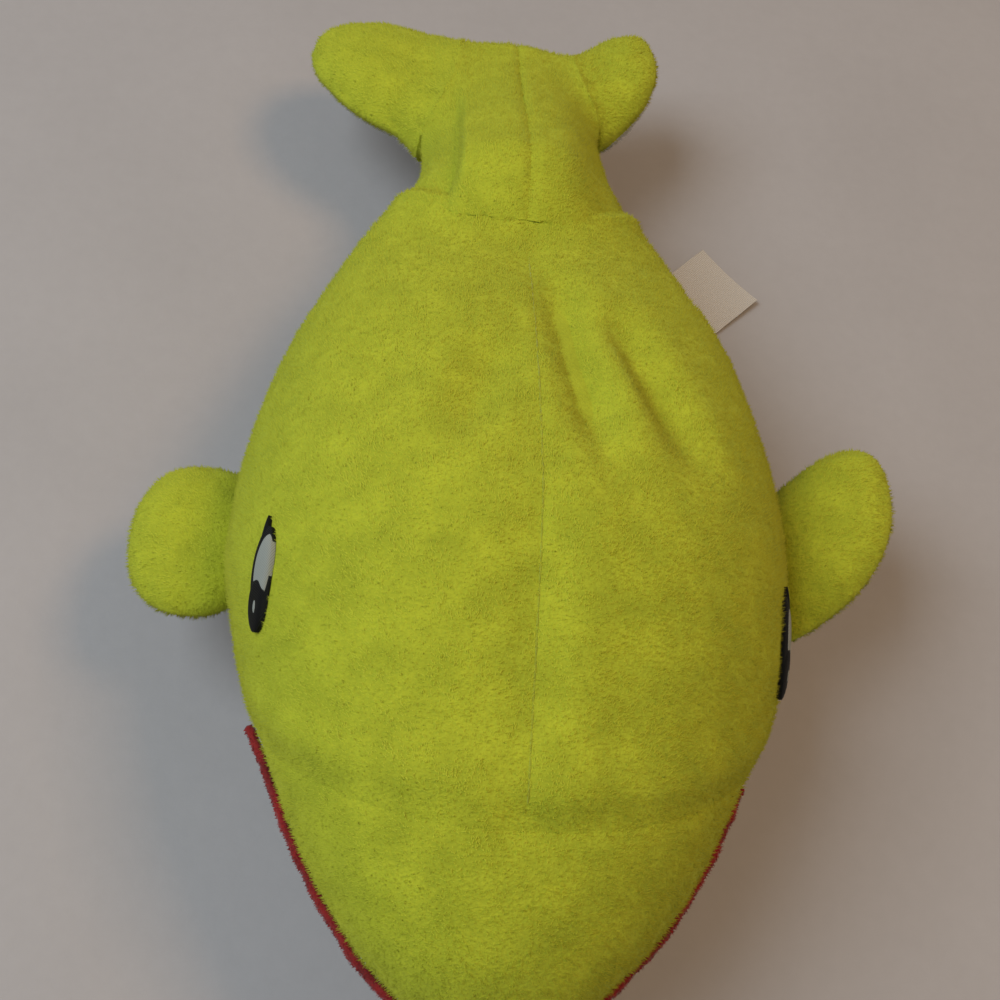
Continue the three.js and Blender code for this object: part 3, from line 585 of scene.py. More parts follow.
def body_swell(station, angle):
    """All that sewing and stuffing add to the egg, in millimetres outwards."""
    points = body_surface(station, angle)
    girth = GIRTH_LENGTH * bulge(station, 2)
    flank = np.where(np.abs(angle) > 180, 360 - np.abs(angle), np.abs(angle))
    dorsal, side, behind, upper = seam_distances(station, angle)
    back = upper & (behind >= 0)
    blown = between(STUFFED, np.arccos(np.clip(-station, -1, 1)) / np.pi, (angle % 360) / 360)
    swell = blown - STUFFED.mean() + stuffing_lumps(points) * ramp(side, 0, 14)
    swell = swell + seam_pull(side, *SIDE_DENT) + puckers(points, side, SIDE_PUCKERS)
    swell = swell + np.where(upper, 0, seam_pull(side, *BELLY_DENT))
    begun = np.where(back, ramp(behind, 0, DORSAL_START), 0)
    swell = swell + begun * (seam_pull(dorsal, *DORSAL_DENT) + puckers(points, dorsal, DORSAL_PUCKERS))
    swell = swell + mound(station, flank, *RUMP)
    for sizes in LEFT_SWELLINGS:
        swell = swell + mound(station, angle, *sizes)
    height, middle, spread = DORSAL_ROLL
    roll = np.exp(-((angle / 90 * girth - middle) / spread) ** 2) * ramp(-station, -0.25, 0.1)
    swell = swell + height * begun * roll
    height, middle, spread = FOREHEAD_ROLL
    roll = np.exp(-((behind - middle) / spread) ** 2) * ramp(side, 2, 14)
    swell = swell + height * begun * roll + np.where(upper, seam_pull(np.abs(behind), *FOREHEAD_DENT), 0)
    return swell + np.where(back, sum(fold(points, *sizes) for sizes in FOLDS), 0)


print(f"swelling at the left cheek, mm: {body_swell(np.array(-0.24), np.array(88.0)):.2f}")

# %% [markdown]
# ## Places of the eyes
# Each eye is stitched through the plush and holds its pile down, so its outline is needed twice: here for the pile that
# is left out, and later for the stitches. It is drawn flat, as embroidery is, and laid on the flank.

# %% Places of the eyes
EYE_STATION, EYE_SLANT, FACE_SKEW = -0.152, 24.0, 1.0
EYE_ANGLE = {1: 73.0, -1: 62.0}
EYE_HALF = (7.0, 2.6)
EYE_WHITE_RISE = {1: -0.3, -1: 0.6}
FLANK_MM_PER_DEGREE = np.radians(1) * (BODY_HALF_WIDTH + BODY_CROWN) / 2


def eye_place(side, a, b):
    """Station and angle of a point of the eye, from a backwards and b upwards across its slanted axis."""
    station = EYE_STATION + (a - side * FACE_SKEW) / BODY_NOSE_LENGTH
    return station, EYE_ANGLE[side] - (b + np.tan(np.radians(EYE_SLANT)) * a) / FLANK_MM_PER_DEGREE


def eye_cover(side, station, angle):
    """One inside the eye's outline and nothing outside it: the pile is stitched down there."""
    a = (station - EYE_STATION) * BODY_NOSE_LENGTH + side * FACE_SKEW
    b = (EYE_ANGLE[side] - angle) * FLANK_MM_PER_DEGREE - np.tan(np.radians(EYE_SLANT)) * a
    return 1.0 * ((a / EYE_HALF[0]) ** 2 + (b / EYE_HALF[1]) ** 2 < 1)


print("eye stations, left and right:", [round(eye_place(side, 0.0, 0.0)[0], 3) for side in SIDES.values()])

# %% [markdown]
# ## Tail and limbs
# The tail is a taper with a ball at its root. A fluke or flipper is a pillow over a rounded outline, in a frame of
# p outwards, q along its root and n up. Where such a piece would run into what carries it, its points slide outwards
# along its own axis until they lie on the carrier, so that it ends in a sewn-on root. A Boolean would cut it as
# cleanly, but it would break the grid that the seams and the pile are laid on.

# %% Tail form
def slide_out(points, way, level, reach, gap):
    """Points inside the carrier move along the given way to its surface, found by halving, plus a gap."""
    near, far = np.zeros(points.shape[:-1]), np.full(points.shape[:-1], reach)
    inside = level(points) < 0
    for _ in range(24):
        middle = (near + far) / 2
        deep = level(points + middle[..., None] * way) < 0
        near, far = np.where(deep, middle, near), np.where(deep, far, middle)
    return points + np.where(inside, far + gap, 0)[..., None] * way


TAIL_TURN = rotation("X", -TAIL_DROOP)
ROOT_SHARE = 0.3


def tail_sizes(along, grow):
    """Half width and half height of the tail at a distance from its bending axis: a ball, a taper and a round end."""
    root = bulge(np.minimum(along, 0) / (TAIL_ROOT_RADIUS + grow), 2)
    share = np.clip(along / TAIL_TAPER_LENGTH, 0, 1)
    end = bulge(np.maximum(0, along - TAIL_TAPER_LENGTH) / (TAIL_LENGTH - TAIL_TAPER_LENGTH + grow), 2)
    width = TAIL_ROOT_HALF_WIDTH + (TAIL_END_HALF_WIDTH - TAIL_ROOT_HALF_WIDTH) * share + grow
    height = TAIL_ROOT_RADIUS + (TAIL_END_HALF_HEIGHT - TAIL_ROOT_RADIUS) * share + grow
    return width * root * end, height * root * end


def tail_surface(row, angle, grow=0.0):
    """The tail in the frame: rows run from the root to the end, angles from the crown round the left side. A share of
    the rows lies on the ball at the root, and the rows crowd at both ends, where the form is round."""
    front, back = TAIL_ROOT_RADIUS + grow, TAIL_LENGTH + grow
    along = np.where(row < ROOT_SHARE, -front * np.cos(row / ROOT_SHARE * np.pi / 2),
                     back * np.sin((row - ROOT_SHARE) / (1 - ROOT_SHARE) * np.pi / 2))
    width, height = tail_sizes(along, grow)
    turn = np.radians(angle)
    local = np.stack([width * np.sin(turn), along, height * np.cos(turn)], -1)
    return local @ TAIL_TURN.T + TAIL_AXIS


def tail_level(points):
    """Below zero inside the tail and above zero outside it."""
    local = (points - TAIL_AXIS) @ TAIL_TURN
    width, height = tail_sizes(local[..., 1], 0.0)
    width, height = np.maximum(width, 1e-3), np.maximum(height, 1e-3)
    return (local[..., 0] / width) ** 2 + (local[..., 2] / height) ** 2 - 1


TAIL_WAY = TAIL_TURN @ np.array([0.0, 1.0, 0.0])
TAIL_JOINT = dict(start=(0, 0.065, 0.0275), end=(0, 0.085, 0.0255))
TAIL_ARC = np.pi / 2 * (TAIL_ROOT_HALF_WIDTH + TAIL_END_HALF_WIDTH) / 2
print("end of the tail, mm:", tail_surface(np.array(1.0), np.array(0.0)).round(1))

# %% Limb forms
# Where a fluke's inner rear corner is drawn in: from which width, to which length, and how flat.
CORNER_WIDTHS, CORNER_LENGTH, CORNER_FLATNESS = (6, 15), 42, 0.8
# How far the left fluke's front root is drawn back, and the widths and lengths over which that fades.
FRONT_PULL, FRONT_WIDTHS, FRONT_LENGTHS = 5, (13, 27), (22, 40)


def limb_frame(outwards, along, lift):
    """Columns p, q and n of a limb, turned up about its root by its lift."""
    up = np.cross(outwards, along)
    up = up if up[2] > 0 else -up
    spin = np.array(Matrix.Rotation(np.radians(-lift if outwards[0] > 0 else lift), 3, along.tolist()))
    return spin @ np.stack([outwards, along, up], 1)


def flipper(side, station, span, tip_chord, lift, sweep):
    """Sizes and frame of a flipper, rooted on the flank under the side seam."""
    pitch = np.radians(FLIPPER["pitch"])
    along = np.array([0.0, np.cos(pitch), -np.sin(pitch)])
    drop = SIDE_SEAM_HEIGHT - FLIPPER["height"]
    across = (1 - (drop / BODY_DEPTH) ** BELLY_POWER) ** (1 / GIRTH_POWER)
    flank = BODY_HALF_WIDTH * across * bulge(station / BODY_REAR_LENGTH, FLANK_POWER)
    origin = np.array([side * (flank + FLIPPER["radius"] - SEAT_DEPTH), station, FLIPPER["height"]])
    axes = limb_frame(np.array([float(side), 0.0, 0.0]), along, lift)
    inside = FLIPPER["radius"] + FLIPPER["turn_in"]
    half = FLIPPER["chord"] / 2
    return dict(FLIPPER, origin=origin, axes=axes, span=span, sweep=sweep, inside=inside, root_lead=half,
                root_trail=half, tip_chord=tip_chord)


def fluke(side, span, root_lead, lift, sweep):
    """Sizes and frame of a fluke, rooted along the side of the tail."""
    slope = (TAIL_END_HALF_WIDTH - TAIL_ROOT_HALF_WIDTH) / TAIL_TAPER_LENGTH
    edge, normal = unit(np.array([side * slope, 1.0, 0.0])), unit(np.array([side, -slope, 0.0]))
    local = np.array([side * (TAIL_ROOT_HALF_WIDTH + slope * FLUKE["middle"]), FLUKE["middle"], 0.0])
    origin = TAIL_TURN @ (local + (FLUKE["radius"] - SEAT_DEPTH) * normal) + TAIL_AXIS
    axes = limb_frame(TAIL_TURN @ normal, TAIL_TURN @ edge, lift)
    inside = FLUKE["radius"] + FLUKE["turn_in"]
    return dict(FLUKE, origin=origin, axes=axes, span=span, sweep=sweep, inside=inside, root_lead=root_lead)


def limb_surface(limb, ring, turn, face, grow=0.0):
    """The pillow: a rounded outline scaled in by the ring, with a rise that falls to nothing at the edge."""
    reach = (limb["span"] + limb["inside"]) / 2 + np.minimum(grow, 0)
    middle = (limb["span"] - limb["inside"]) / 2
    out = np.cos(2 * np.pi * turn)
    root = np.where(turn < 0.5, limb["root_trail"], limb["root_lead"])
    chord = root + (limb["tip_chord"] / 2 - root) * (0.5 + 0.5 * out)
    p = middle + reach * power(out, 2 / limb["squareness"])
    q = (chord + np.minimum(grow, 0)) * power(np.sin(2 * np.pi * turn), 2 / limb["squareness"])
    q = q + limb["sweep"] * np.maximum(p, 0)
    rise = (limb["thickness"] / 2 + grow) * np.maximum(0, 1 - ring ** PILLOW_POWER) ** PILLOW_ROUNDING
    local = np.stack([middle + (p - middle) * ring, limb["sweep"] * middle * (1 - ring) + q * ring,
                      face * rise], -1)
    return local @ limb["axes"].T + limb["origin"]


def tucked(points):
    """A fluke's inner trailing corner, drawn in to the end of the tail, and the left one's front root, drawn back."""
    local = (points - TAIL_AXIS) @ TAIL_TURN
    left = local[..., 0] > 0
    front = left * (1 - ramp(local[..., 0], *FRONT_WIDTHS)) * (1 - ramp(local[..., 1], *FRONT_LENGTHS))
    local[..., 1] += FRONT_PULL * front
    inner = 1 - ramp(np.abs(local[..., 0]), *CORNER_WIDTHS)
    local[..., 1] -= inner * np.maximum(0, local[..., 1] - CORNER_LENGTH)
    local[..., 2] *= 1 - CORNER_FLATNESS * inner
    return local @ TAIL_TURN.T + TAIL_AXIS


FLIPPERS = {label: flipper(**sizes) for label, sizes in FLIPPER_SIDES.items()}
FLUKES = {label: fluke(**sizes) for label, sizes in FLUKE_SIDES.items()}
for label in SIDES:
    print(f"{label} roots, mm: flipper {FLIPPERS[label]['origin'].round(1)}, fluke {FLUKES[label]['origin'].round(1)}")

# %% [markdown]
# ## Soft hollows
# Where two stuffed forms are sewn together the cloth runs from one to the other in a soft hollow. Each skin is drawn
# out there by the smooth minimum of its distances to both forms. Joining the meshes and smoothing them would give the
# same look, but the pieces have to stay apart so that the joints can bend.

# %% Soft hollows
# Beyond the first distance a sample's own plane says too little. Points this deep inside are left alone.
PLANE_REACH, BURIED = 6, (-10, -3)


def samples(outer, inner):
    """Points of a skin and their outward normals, as two flat lists."""
    return outer.reshape(-1, 3), outward(outer, inner).reshape(-1, 3)


def clear_of(points, skin):
    """How far points lie outside another skin, below zero inside it, and the normal of its nearest sample."""
    places, normals = skin
    parts = np.array_split(points, len(points) // 2000 + 1)
    nearest = np.concatenate([np.argmin((places ** 2).sum(1) - 2 * part @ places.T, axis=1) for part in parts])
    away = points - places[nearest]
    far = np.einsum("ij,ij->i", away, normals[nearest])
    distance = np.linalg.norm(away, axis=1)
    return np.where(distance > PLANE_REACH, np.sign(far) * distance, far), normals[nearest]


def hollow(points, normals, skin, reach):
    """The step from a skin to the smooth minimum of two distances, its own and that to another skin."""
    step = np.zeros_like(points)
    close = np.all((points > skin[0].min(0) - reach) & (points < skin[0].max(0) + reach), axis=-1)
    places, normals = points[close], normals[close]
    if len(places):
        far, other = clear_of(places, skin)
        near = np.clip(1 - np.maximum(far, 0) / reach, 0, 1) * ramp(far, *BURIED)
        slope = normals * (1 - near / 2)[:, None] + other * (near / 2)[:, None]
        steep = np.maximum((slope ** 2).sum(-1), 0.3)
        step[close] = (reach / 4 * near ** 2 / steep)[:, None] * slope
    return step


def softened(steps, times):
    """Steps over a grid, each mixed with its four neighbours the given number of times."""
    for _ in range(times):
        wide = np.pad(steps, ((1, 1), (1, 1), (0, 0)), mode="edge")
        steps = (wide[:-2, 1:-1] + wide[2:, 1:-1] + wide[1:-1, :-2] + wide[1:-1, 2:] + 4 * steps) / 8
    return steps


TAIL_HOLLOW, FLUKE_HOLLOW = 12.0, 10.0
RUMP_OVERLAP, FLUKE_OVERLAP, ROOT_GAP = 2.5, 0.3, -1.5
row, col = grid(60, 72)
BODY_SKIN = samples(*(body_surface(0.2 + 0.795 * row, 360 * col, g) for g in (0.0, -CLOTH)))
TAIL_SKIN = samples(*(tail_surface(row, 360 * col, g) for g in (0.0, -CLOTH)))
row, col = grid(24, 72)
ring = np.sin(row * np.pi / 2)


def limb_samples(limb):
    """Samples of both faces of a limb in one pair of lists."""
    faces = [samples(*(tucked(limb_surface(limb, ring, col, face, g)) for g in (0.0, -CLOTH))) for face in (1, -1)]
    return [np.concatenate(parts) for parts in zip(*faces)]


FLUKE_SKINS = [limb_samples(limb) for limb in FLUKES.values()]
print("samples of body, tail and flukes:", [len(skin[0]) for skin in (BODY_SKIN, TAIL_SKIN, *FLUKE_SKINS)])

# %% [markdown]
# ## Back, snout and belly
# The body is sewn from two back panels, a snout and a belly, and filled with fibre. Each panel is a patch of the same
# egg, between the seams that bound it, so that neighbours meet edge to edge. One closed skin with painted seams would
# be simpler, but then no panel could be taken off.

# %% Back panels
def body_panel(name, node_name, station, angle, ground, slot):
    """A panel of the body as closed cloth, from its stations and angles on a grid. Returns both its skins."""
    outer = body_surface(station, angle, body_swell(station, angle))
    inner = body_surface(station, angle, -CLOTH)
    outer = outer + hollow(outer, outward(outer, inner), TAIL_SKIN, TAIL_HOLLOW + RUMP_OVERLAP)
    outer[..., 2] = np.maximum(outer[..., 2], TABLE_CLEARANCE)
    inner[..., 2] = np.maximum(inner[..., 2], CLOTH / 2)
    thing = make(name, *welded(*sheet_mesh(outer, inner)), ground)
    settle(thing, slot, ["body"])
    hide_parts(node_name)
    return outer, inner


row, col = grid(150, 100)
for label, side in SIDES.items():
    first = forehead_station(90 * col)
    station = first + (1 - first) * np.sin(row * np.pi / 2)
    around = seam_angle(station) * col
    skins = body_panel(f"plush_back_{label}", f"back_panel_{label}", station, side * around, NEON, "neon_plush")
    cover = 1 - eye_cover(side, station, around)
    hair = pile(f"pile_back_{label}", *skins, NEON_DENSITY, PILE_LENGTH, NEON_PILE, 20 + side, cover=cover)
    settle(hair, "neon_plush", ["body"])

# %% Snout
row, col = grid(80, 150)
around = 180 * col - 90
station = -1 + (1 + forehead_station(around)) * row ** 1.4
skins = body_panel("plush_snout", "snout_top_panel", station, around, NEON, "neon_plush")
settle(pile("pile_snout", *skins, NEON_DENSITY, PILE_LENGTH, NEON_PILE, 31), "neon_plush", ["body"])

# %% Belly
row, col = grid(150, 150)
station = -np.cos(row * np.pi)
around = 180 + (2 * col - 1) * (180 - seam_angle(station))
skins = body_panel("plush_belly", "belly_panel", station, around, WHITE, "white_plush")
settle(pile("pile_belly", *skins, BELLY_DENSITY, PILE_LENGTH, WHITE_PILE, 32), "white_plush", ["body"])

# %% Filling of the body
BODY_FILLING_DEPTH, TUFT_HEIGHT, TUFT_SIZE = 3.6, 0.5, 6.0
row, col = grid(60, 60)
station = -np.cos(row * np.pi)
tufts = TUFT_HEIGHT * noise(body_surface(station, 360 * col), TUFT_SIZE)
core = body_surface(station, 360 * col, -BODY_FILLING_DEPTH + tufts)
thing = make("filling_body", *welded(core.reshape(-1, 3), skin_faces(60, 60)), FIBREFILL)
settle(thing, "polyester_fibrefill", ["body"])
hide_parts("body_stuffing")

# %% [markdown]
# ## Eyes
# The eyes are satin stitch, drawn as flat shapes on the flank: a black outline with a lash, a white, a pupil and a
# glint, each a little higher than the one under it. One disc with a painted pattern would do from afar, but embroidery
# stands up from the cloth in plies.

# %% Eyes
def eye_ply(name, node_name, side, middle, half, height, colour, slot, lash):
    """A stitched shape on the flank: an ellipse, with a lash drawn out of its rear end, raised to its height."""
    ring, turn = grid(14, 72)
    turn = turn % 1
    spike = 1 + lash * np.exp(-((turn - 0.96) / 0.018) ** 2)
    a = middle[0] + half[0] * ring * np.cos(2 * np.pi * turn) * spike
    b = middle[1] + half[1] * ring * np.sin(2 * np.pi * turn) * spike
    station, angle = eye_place(side, a, b)
    swell = body_swell(station, side * angle)
    edge = 0.35 * (1 - ring ** 6) - 0.35
    top = body_surface(station, side * angle, swell + height + edge)
    bottom = body_surface(station, side * angle, swell + 0.1)
    thing = make(name, *welded(*sheet_mesh(top, bottom)), colour)
    settle(thing, slot, ["body"])
    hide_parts(node_name)


for label, side in SIDES.items():
    white = (0.9, EYE_WHITE_RISE[side])
    for word, middle, half, height, colour, slot, lash in (
        ("outline", (0.0, 0.0), EYE_HALF, 1.0, BLACK, "black_embroidery", 0.3),
        ("white", white, (4.9, 2.05), 1.15, EYE_WHITE, "white_embroidery", 0.0),
        ("pupil", (-3.2, -0.1), (3.7, 2.35), 1.25, BLACK, "black_embroidery", 0.0),
        ("glint", (-3.7, 0.2), (1.0, 0.4), 1.35, EYE_WHITE, "white_embroidery", 0.0),
    ):
        eye_ply(f"stitched_{word}_{label}", f"eye_{word}_{label}", side, middle, half, height, colour, slot, lash)

# %% [markdown]
# ## Mouth
# The mouth is a fuzzy red yarn, couched along the side seam from one corner round the nose to the other. It is a tube
# carried along that path, thicker and thinner as yarn is, with short fuzz. A bevelled curve could carry it too, but the
# fuzz needs the skin as a grid of points.

# %% Mouth
def tube(path, radius, turns):
    """A round tube along a path: rings of points across it, in a frame that follows the path."""
    way = unit(np.gradient(path, axis=0))
    out = path - np.array([0.0, 0.0, SIDE_SEAM_HEIGHT]) - np.outer(path[:, 1], [0.0, 1.0, 0.0])
    side = unit(np.cross(way, out + [0.0, 0.0, 0.01]))
    other = np.cross(side, way)
    turn = np.linspace(0, 2 * np.pi, turns + 1)[None, :, None]
    return path[:, None] + radius[..., None] * (np.cos(turn) * side[:, None] + np.sin(turn) * other[:, None])


MOUTH_RADIUS, MOUTH_PROUD, MOUTH_STEPS, MOUTH_TURNS = 0.7, 1.5, 480, 12
MOUTH_CORNERS = {-1: -0.375, 1: -0.45}
way = np.linspace(-1, 1, MOUTH_STEPS + 1)
corner = np.where(way < 0, MOUTH_CORNERS[-1], MOUTH_CORNERS[1])
station = -1 + (1 + corner) * np.abs(way) ** 1.7
turned = np.where(way < 0, -1.0, 1.0)
seam = np.where(way < 0, -90.0, 90 - 6 * ramp(way, 0, 0.3) + 2 * ramp(way, 0.5, 1))
lips = body_surface(station, seam, body_swell(station, 89.9 * turned) + MOUTH_PROUD)
twist = noise(lips[:, None] + np.linspace(0, 9, MOUTH_TURNS + 1)[None, :, None], 1.2)
thick = MOUTH_RADIUS * bulge(way, 30)[:, None] * (1 + 0.18 * twist)
thick[:, -1] = thick[:, 0]
yarn = tube(lips, thick, MOUTH_TURNS)
thing = make("yarn_mouth", *welded(yarn.reshape(-1, 3), skin_faces(MOUTH_STEPS, MOUTH_TURNS)), YARN)
settle(thing, "red_embroidery", ["body"])
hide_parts("mouth_stitching")
middle = np.repeat(lips[:, None], MOUTH_TURNS + 1, axis=1)
settle(pile("fuzz_mouth", yarn, middle, FUZZ_DENSITY, 0.4, RED_PILE, 51, lean=0.1), "red_embroidery", ["body"])

# %% [markdown]
# ## Seam threads
# Of the sewing only short sunk stitches show, along the dorsal and the forehead seam. The thread is one tube that thins
# to almost nothing at each needle hole, so that it reads as stitches and is still one piece.

# %% Seam threads
STITCH_PITCH, THREAD_TURNS, FOREHEAD_SUNK = 3.2, 8, 0.4


def stitches(name, node_name, path):
    """A row of short sunk stitches: a thread that swells and thins to nothing between the needle holes."""
    along = np.concatenate([[0], np.cumsum(np.linalg.norm(np.diff(path, axis=0), axis=1))])
    lift = np.abs(np.sin(np.pi * along / STITCH_PITCH))
    thick = 0.04 + 0.1 * np.sqrt(lift)
    line = tube(path, np.repeat(thick[:, None], THREAD_TURNS + 1, axis=1), THREAD_TURNS)
    ends = [np.repeat(path[k][None, None], THREAD_TURNS + 1, axis=1) for k in (0, -1)]
    line = np.concatenate([ends[0], line, ends[1]])
    thing = make(name, *welded(line.reshape(-1, 3), skin_faces(line.shape[0] - 1, THREAD_TURNS)), THREAD)
    settle(thing, "sewing_thread", ["body"])
    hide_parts(node_name)


t = np.linspace(0, 1, 700)
station = FOREHEAD_STATION + 0.05 + (0.75 - FOREHEAD_STATION) * t
angle = np.zeros_like(t)
stitches("stitches_dorsal", "dorsal_seam_thread", body_surface(station, angle, body_swell(station, angle)))
angle = 82 * (2 * t - 1)
station = forehead_station(angle)
sunk = body_swell(station, angle) - FOREHEAD_SUNK
stitches("stitches_forehead", "forehead_seam_thread", body_surface(station, angle, sunk))

# %% [markdown]
# ## Tail
# Two neon panels meet along the top of the tail, and a white one closes it underneath. A pulled fold stands up along
# the top, with its steep side on the right panel. It is drawn as a step in the swelling, because its place is read
# from the photograph.

# %% Tail panels
RIDGE_HEIGHT, TAIL_REACH, ROOT_FADE, FLARE_BLUR = 2.8, 40.0, 2.5, 12


def tail_panel(name, node_name, first, last, ground, slot, colours, density, seed):
    """A panel of the tail between two angles, drawn in along its edges, with its pile."""
    row, col = grid(110, 80)
    angle = first + (last - first) * col
    points = tail_surface(row, angle)
    edge = TAIL_ARC * np.abs(last - first) / 90 * np.minimum(col, 1 - col)
    swell = seam_pull(edge, 2.0, 0.6) + puckers(points, edge, 3.0) + 0.6 * stuffing_lumps(points)
    x = points[..., 0]
    ridge = ramp(x, -12.0, -9.5) * (1 - ramp(x, 5.0, 15.0)) * (np.cos(np.radians(angle)) > 0)
    swell = swell + RIDGE_HEIGHT * ridge * ramp(points[..., 1], 60, 66.5) * (1 - ramp(points[..., 1], 70, 115))
    skin, lining = tail_surface(row, angle, swell), tail_surface(row, angle, -CLOTH)
    outer = slide_out(skin, TAIL_WAY, body_level, TAIL_REACH, gap=ROOT_GAP)
    inner = slide_out(lining, TAIL_WAY, body_level, TAIL_REACH, gap=CLOTH)
    normals = outward(skin, lining)
    rooted = 1 - ramp(np.linalg.norm(outer - skin, axis=-1), 0, ROOT_FADE)
    drawn = rooted[..., None] * hollow(outer, normals, BODY_SKIN, TAIL_HOLLOW)
    beside = (1 - ramp(np.abs(angle), 82, 103)) * (1 - ramp(row, 0.86, 0.97))
    flared = sum(hollow(outer, normals, fluke_skin, FLUKE_HOLLOW + FLUKE_OVERLAP) for fluke_skin in FLUKE_SKINS)
    outer = outer + drawn + beside[..., None] * softened(flared, FLARE_BLUR)
    thing = make(name, *welded(*sheet_mesh(outer, inner)), ground)
    settle(thing, slot, ["body", "tail"], **TAIL_JOINT)
    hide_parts(node_name)
    hair = pile(name.replace("plush", "pile"), outer, inner, density, PILE_LENGTH, colours, seed)
    settle(hair, slot, ["body", "tail"], **TAIL_JOINT)


for seed, (word, node_name, first, last) in enumerate((
    ("left", "tail_panel_left", 0, 105), ("right", "tail_panel_right", -105, 0)), start=41):
    tail_panel(f"plush_tail_{word}", node_name, first, last, NEON, "neon_plush", NEON_PILE, NEON_DENSITY, seed)
tail_panel("plush_tail_belly", "tail_belly_panel", 105, 255, WHITE, "white_plush", WHITE_PILE, TAIL_BELLY_DENSITY, 43)

# %% Filling of the tail
TAIL_FILLING_DEPTH = 3.2
row, col = grid(40, 40)
core = tail_surface(row, 360 * col, -TAIL_FILLING_DEPTH)
core = slide_out(core, TAIL_WAY, body_level, TAIL_REACH, gap=CLOTH + 1)
thing = make("filling_tail", *welded(core.reshape(-1, 3), skin_faces(40, 40)), FIBREFILL)
settle(thing, "polyester_fibrefill", ["body", "tail"], **TAIL_JOINT)
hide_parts("tail_stuffing")

# %% [markdown]
# ## Flippers and flukes
# A flipper or fluke is two cloth halves sewn edge to edge and filled like a small pillow. The neon half wraps a little
# round the edge, so its seam hides underneath.

# %% Flippers and flukes
LIMB_REACH = 30.0
# For each face: its word, ground, slot, pile, fibres to a square millimetre, and degrees that it wraps round.
LIMB_LOOKS = {
    1: ("top", NEON, "neon_plush", NEON_PILE, NEON_DENSITY, 108),
    -1: ("underside", WHITE, "white_plush", WHITE_PILE, LIMB_BELLY_DENSITY, 72),
}


def limb_pieces(name, limb, carrier, level, shaped=np.asarray):
    """Upper and lower cloth of a limb with their pile, and its filling, with their roots slid onto the carrier."""
    way = limb["axes"][:, 0]
    bodies = [carrier, name]
    joint = dict(start=tuple((limb["origin"] - 4 * way) * MM), end=tuple((limb["origin"] + 6 * way) * MM))
    row, turn = grid(50, 120)
    turn = turn % 1
    for face, (word, ground, slot, colours, density, wrap) in LIMB_LOOKS.items():
        lean = np.radians(wrap * row)
        ring, face = np.sin(lean), face * np.sign(np.cos(lean))
        flat = limb_surface(limb, ring, turn, face)
        edge = limb["root_lead"] * (1 - ring)
        swell = 0.5 * stuffing_lumps(flat) * ramp(edge, 0, 5) + 1.5 * puckers(flat, edge, 3.0) * ramp(edge, 0, 1)
        skin, lining = (shaped(limb_surface(limb, ring, turn, face, g)) for g in (swell, -CLOTH))
        outer = slide_out(skin, way, level, LIMB_REACH, gap=ROOT_GAP)
        inner = slide_out(lining, way, level, LIMB_REACH, gap=CLOTH)
        if carrier == "tail":
            rooted = 1 - ramp(np.linalg.norm(outer - skin, axis=-1), 0, ROOT_FADE)
            outer = outer + rooted[..., None] * hollow(outer, outward(skin, lining), TAIL_SKIN, FLUKE_HOLLOW)
            outer[:, -1] = outer[:, 0]
        thing = make(f"plush_{name}_{word}", *welded(*sheet_mesh(outer, inner)), ground)
        settle(thing, slot, bodies, **joint)
        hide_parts(f"{name}_{word}")
        hair = pile(f"pile_{name}_{word}", outer, inner, density, PILE_LENGTH, colours, 60 + len(word), nap=way)
        settle(hair, slot, bodies, **joint)
    ring = np.sin(row * np.pi / 2)
    cores = (shaped(limb_surface(limb, ring, turn, face, -CLOTH - 0.8)) for face in LIMB_LOOKS)
    cores = [slide_out(core, way, level, LIMB_REACH, gap=CLOTH + 1) for core in cores]
    thing = make(f"filling_{name}", *welded(*sheet_mesh(*cores)), FIBREFILL)
    settle(thing, "polyester_fibrefill", bodies, **joint)
    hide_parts(f"{name}_stuffing")


for label, limb in FLIPPERS.items():
    limb_pieces(f"flipper_{label}", limb, "body", body_level)
for label, limb in FLUKES.items():
    limb_pieces(f"fluke_{label}", limb, "tail", tail_level, tucked)

# %% [markdown]
# ## Care label
# A bare satin ribbon, sewn into the side seam, that drops to the table in a soft bend and lies there. A cloth run would
# drape it as well, but so short and stiff a strip follows one curve, which is drawn here.

# %% Care label
def care_label():
    """The ribbon: a straight run outwards from the seam whose height falls as a cosine, with a slight curl across."""
    root, ahead, behind = (
        body_surface(np.array(LABEL_STATION + k * LABEL_WIDTH / 4 / BODY_REAR_LENGTH), np.array(90.0), grow)
        for k, grow in ((0, -LABEL_INSET), (-1, 0), (1, 0)))
    along = unit((behind - ahead) * [1, 1, 0])
    outwards = np.array([along[1], -along[0], 0.0])
    row, col = grid(72, 24)
    far = (LABEL_DROP_RUN + LABEL_FLAT_RUN) * row
    fall = 0.5 + 0.5 * np.cos(np.pi * np.minimum(far / LABEL_DROP_RUN, 1))
    floor = LABEL_THICKNESS / 2 + 0.3
    middle = root + far[..., None] * outwards + (LABEL_WIDTH * (col - 0.5))[..., None] * along
    curl = 0.5 * ramp(row, 0.5, 1.0) * (2 * col - 1) ** 2 + 0.25 * ramp(row, 0.6, 1.0) * (1 + noise(middle, 9.0))
    middle[..., 2] = floor + (root[2] - floor) * fall + curl
    half = LABEL_THICKNESS / 4
    thing = make("ribbon_label", *welded(*sheet_mesh(middle + [0, 0, half], middle - [0, 0, half])), SATIN)
    settle(thing, "satin_label", ["label"])
    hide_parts("care_label")


care_label()

# %% [markdown]
# ## Stage, light and camera
# A plain pale table, a soft warm light from the right and a cool weak one from the left. The camera looks down at the
# back from in front of the nose, a little rolled, as in the photograph. Its place was fitted to the outline, and is set
# by a rise, a turn and a roll, because those say more than a matrix does.

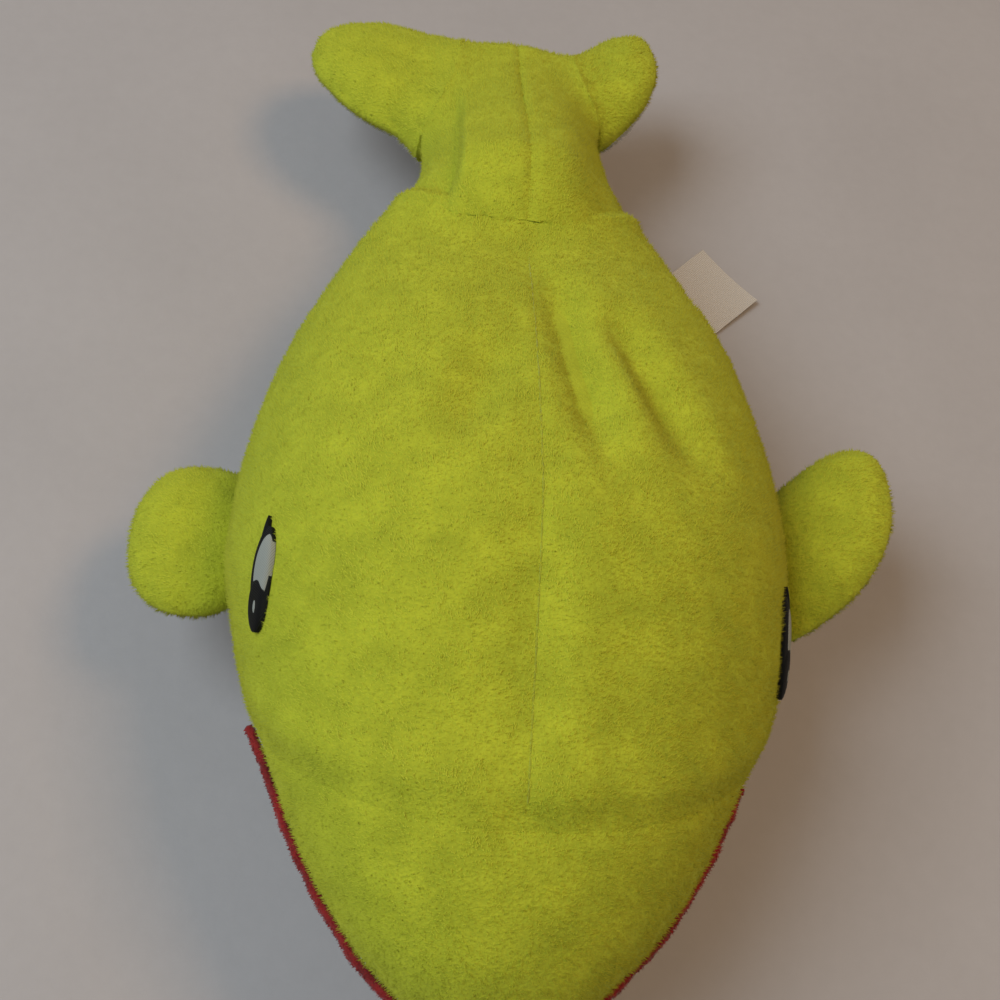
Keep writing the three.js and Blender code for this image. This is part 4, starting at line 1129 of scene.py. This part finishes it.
# %% Camera
CAMERA_TARGET = np.array([0.0, 17.55, 24.0])
CAMERA_RISE, CAMERA_TURN, CAMERA_ROLL = 63.0, 1.336, -8.443
CAMERA_DISTANCE, CAMERA_ANGLE, CAMERA_SHIFT = 230.67, 40.0, -0.00475


def place_camera():
    """A camera whose axes come from its rise, its turn round the toy and its roll about the toy's length."""
    rise, turn = np.radians(CAMERA_RISE), np.radians(CAMERA_TURN)
    roll = rotation("Y", CAMERA_ROLL)
    back = roll @ np.array([np.sin(turn) * np.cos(rise), -np.cos(turn) * np.cos(rise), np.sin(rise)])
    right = unit(np.cross(-back, roll @ np.array([0.0, 0.0, 1.0])))
    data = bpy.data.cameras.new("camera")
    data.sensor_fit = "HORIZONTAL"
    data.lens = data.sensor_width / 2 / np.tan(np.radians(CAMERA_ANGLE / 2))
    data.shift_x = CAMERA_SHIFT
    data.clip_start = 0.01
    camera = bpy.data.objects.new("camera", data)
    pose = np.eye(4)
    pose[:3, :3] = np.stack([right, np.cross(back, right), back], 1)
    pose[:3, 3] = (CAMERA_TARGET + CAMERA_DISTANCE * back) * MM
    camera.matrix_world = Matrix(pose.tolist())
    bpy.context.scene.collection.objects.link(camera)
    bpy.context.scene.camera = camera


place_camera()
print("camera at, m:", [round(part, 3) for part in bpy.context.scene.camera.matrix_world.translation])

# %% Light and table
def area_light(name, place, size, energy, colour):
    """A square area light that faces the toy."""
    data = bpy.data.lights.new(name, "AREA")
    data.size, data.energy, data.color = size, energy, linear(colour)[:3]
    light = bpy.data.objects.new(name, data)
    light.location = place
    light.rotation_euler = (-light.location).to_track_quat("-Z", "Y").to_euler()
    bpy.context.scene.collection.objects.link(light)


area_light("key_light", (0.45, 0.15, 0.9), 0.3, 2.8, "#ffcf98")
area_light("fill_light", (-0.6, 0.02, 0.8), 0.6, 6.7, "#e4f1ff")
world = bpy.data.worlds.new("studio")
world.use_nodes = True
sky = world.node_tree.nodes["Background"].inputs
sky["Color"].default_value = linear("#d8d6d2")
sky["Strength"].default_value = 0.28
bpy.context.scene.world = world
bpy.context.scene.view_settings.view_transform = "Standard"

# Pale matt card: an even face whose faint mottling is drawn coarse enough to show.
FLOOR = cloth_material("pale table", "#b0aba7", "#aaa5a1", 3.0, roughness=0.6, sheen=0.0, bump=0.02)
FLOOR_HALF = 12000.0
corners = FLOOR_HALF * np.array([[-1, -1, 0], [1, -1, 0], [1, 1, 0], [-1, 1, 0]])
make("floor", corners, np.array([[0, 1, 2], [0, 2, 3]]), FLOOR)
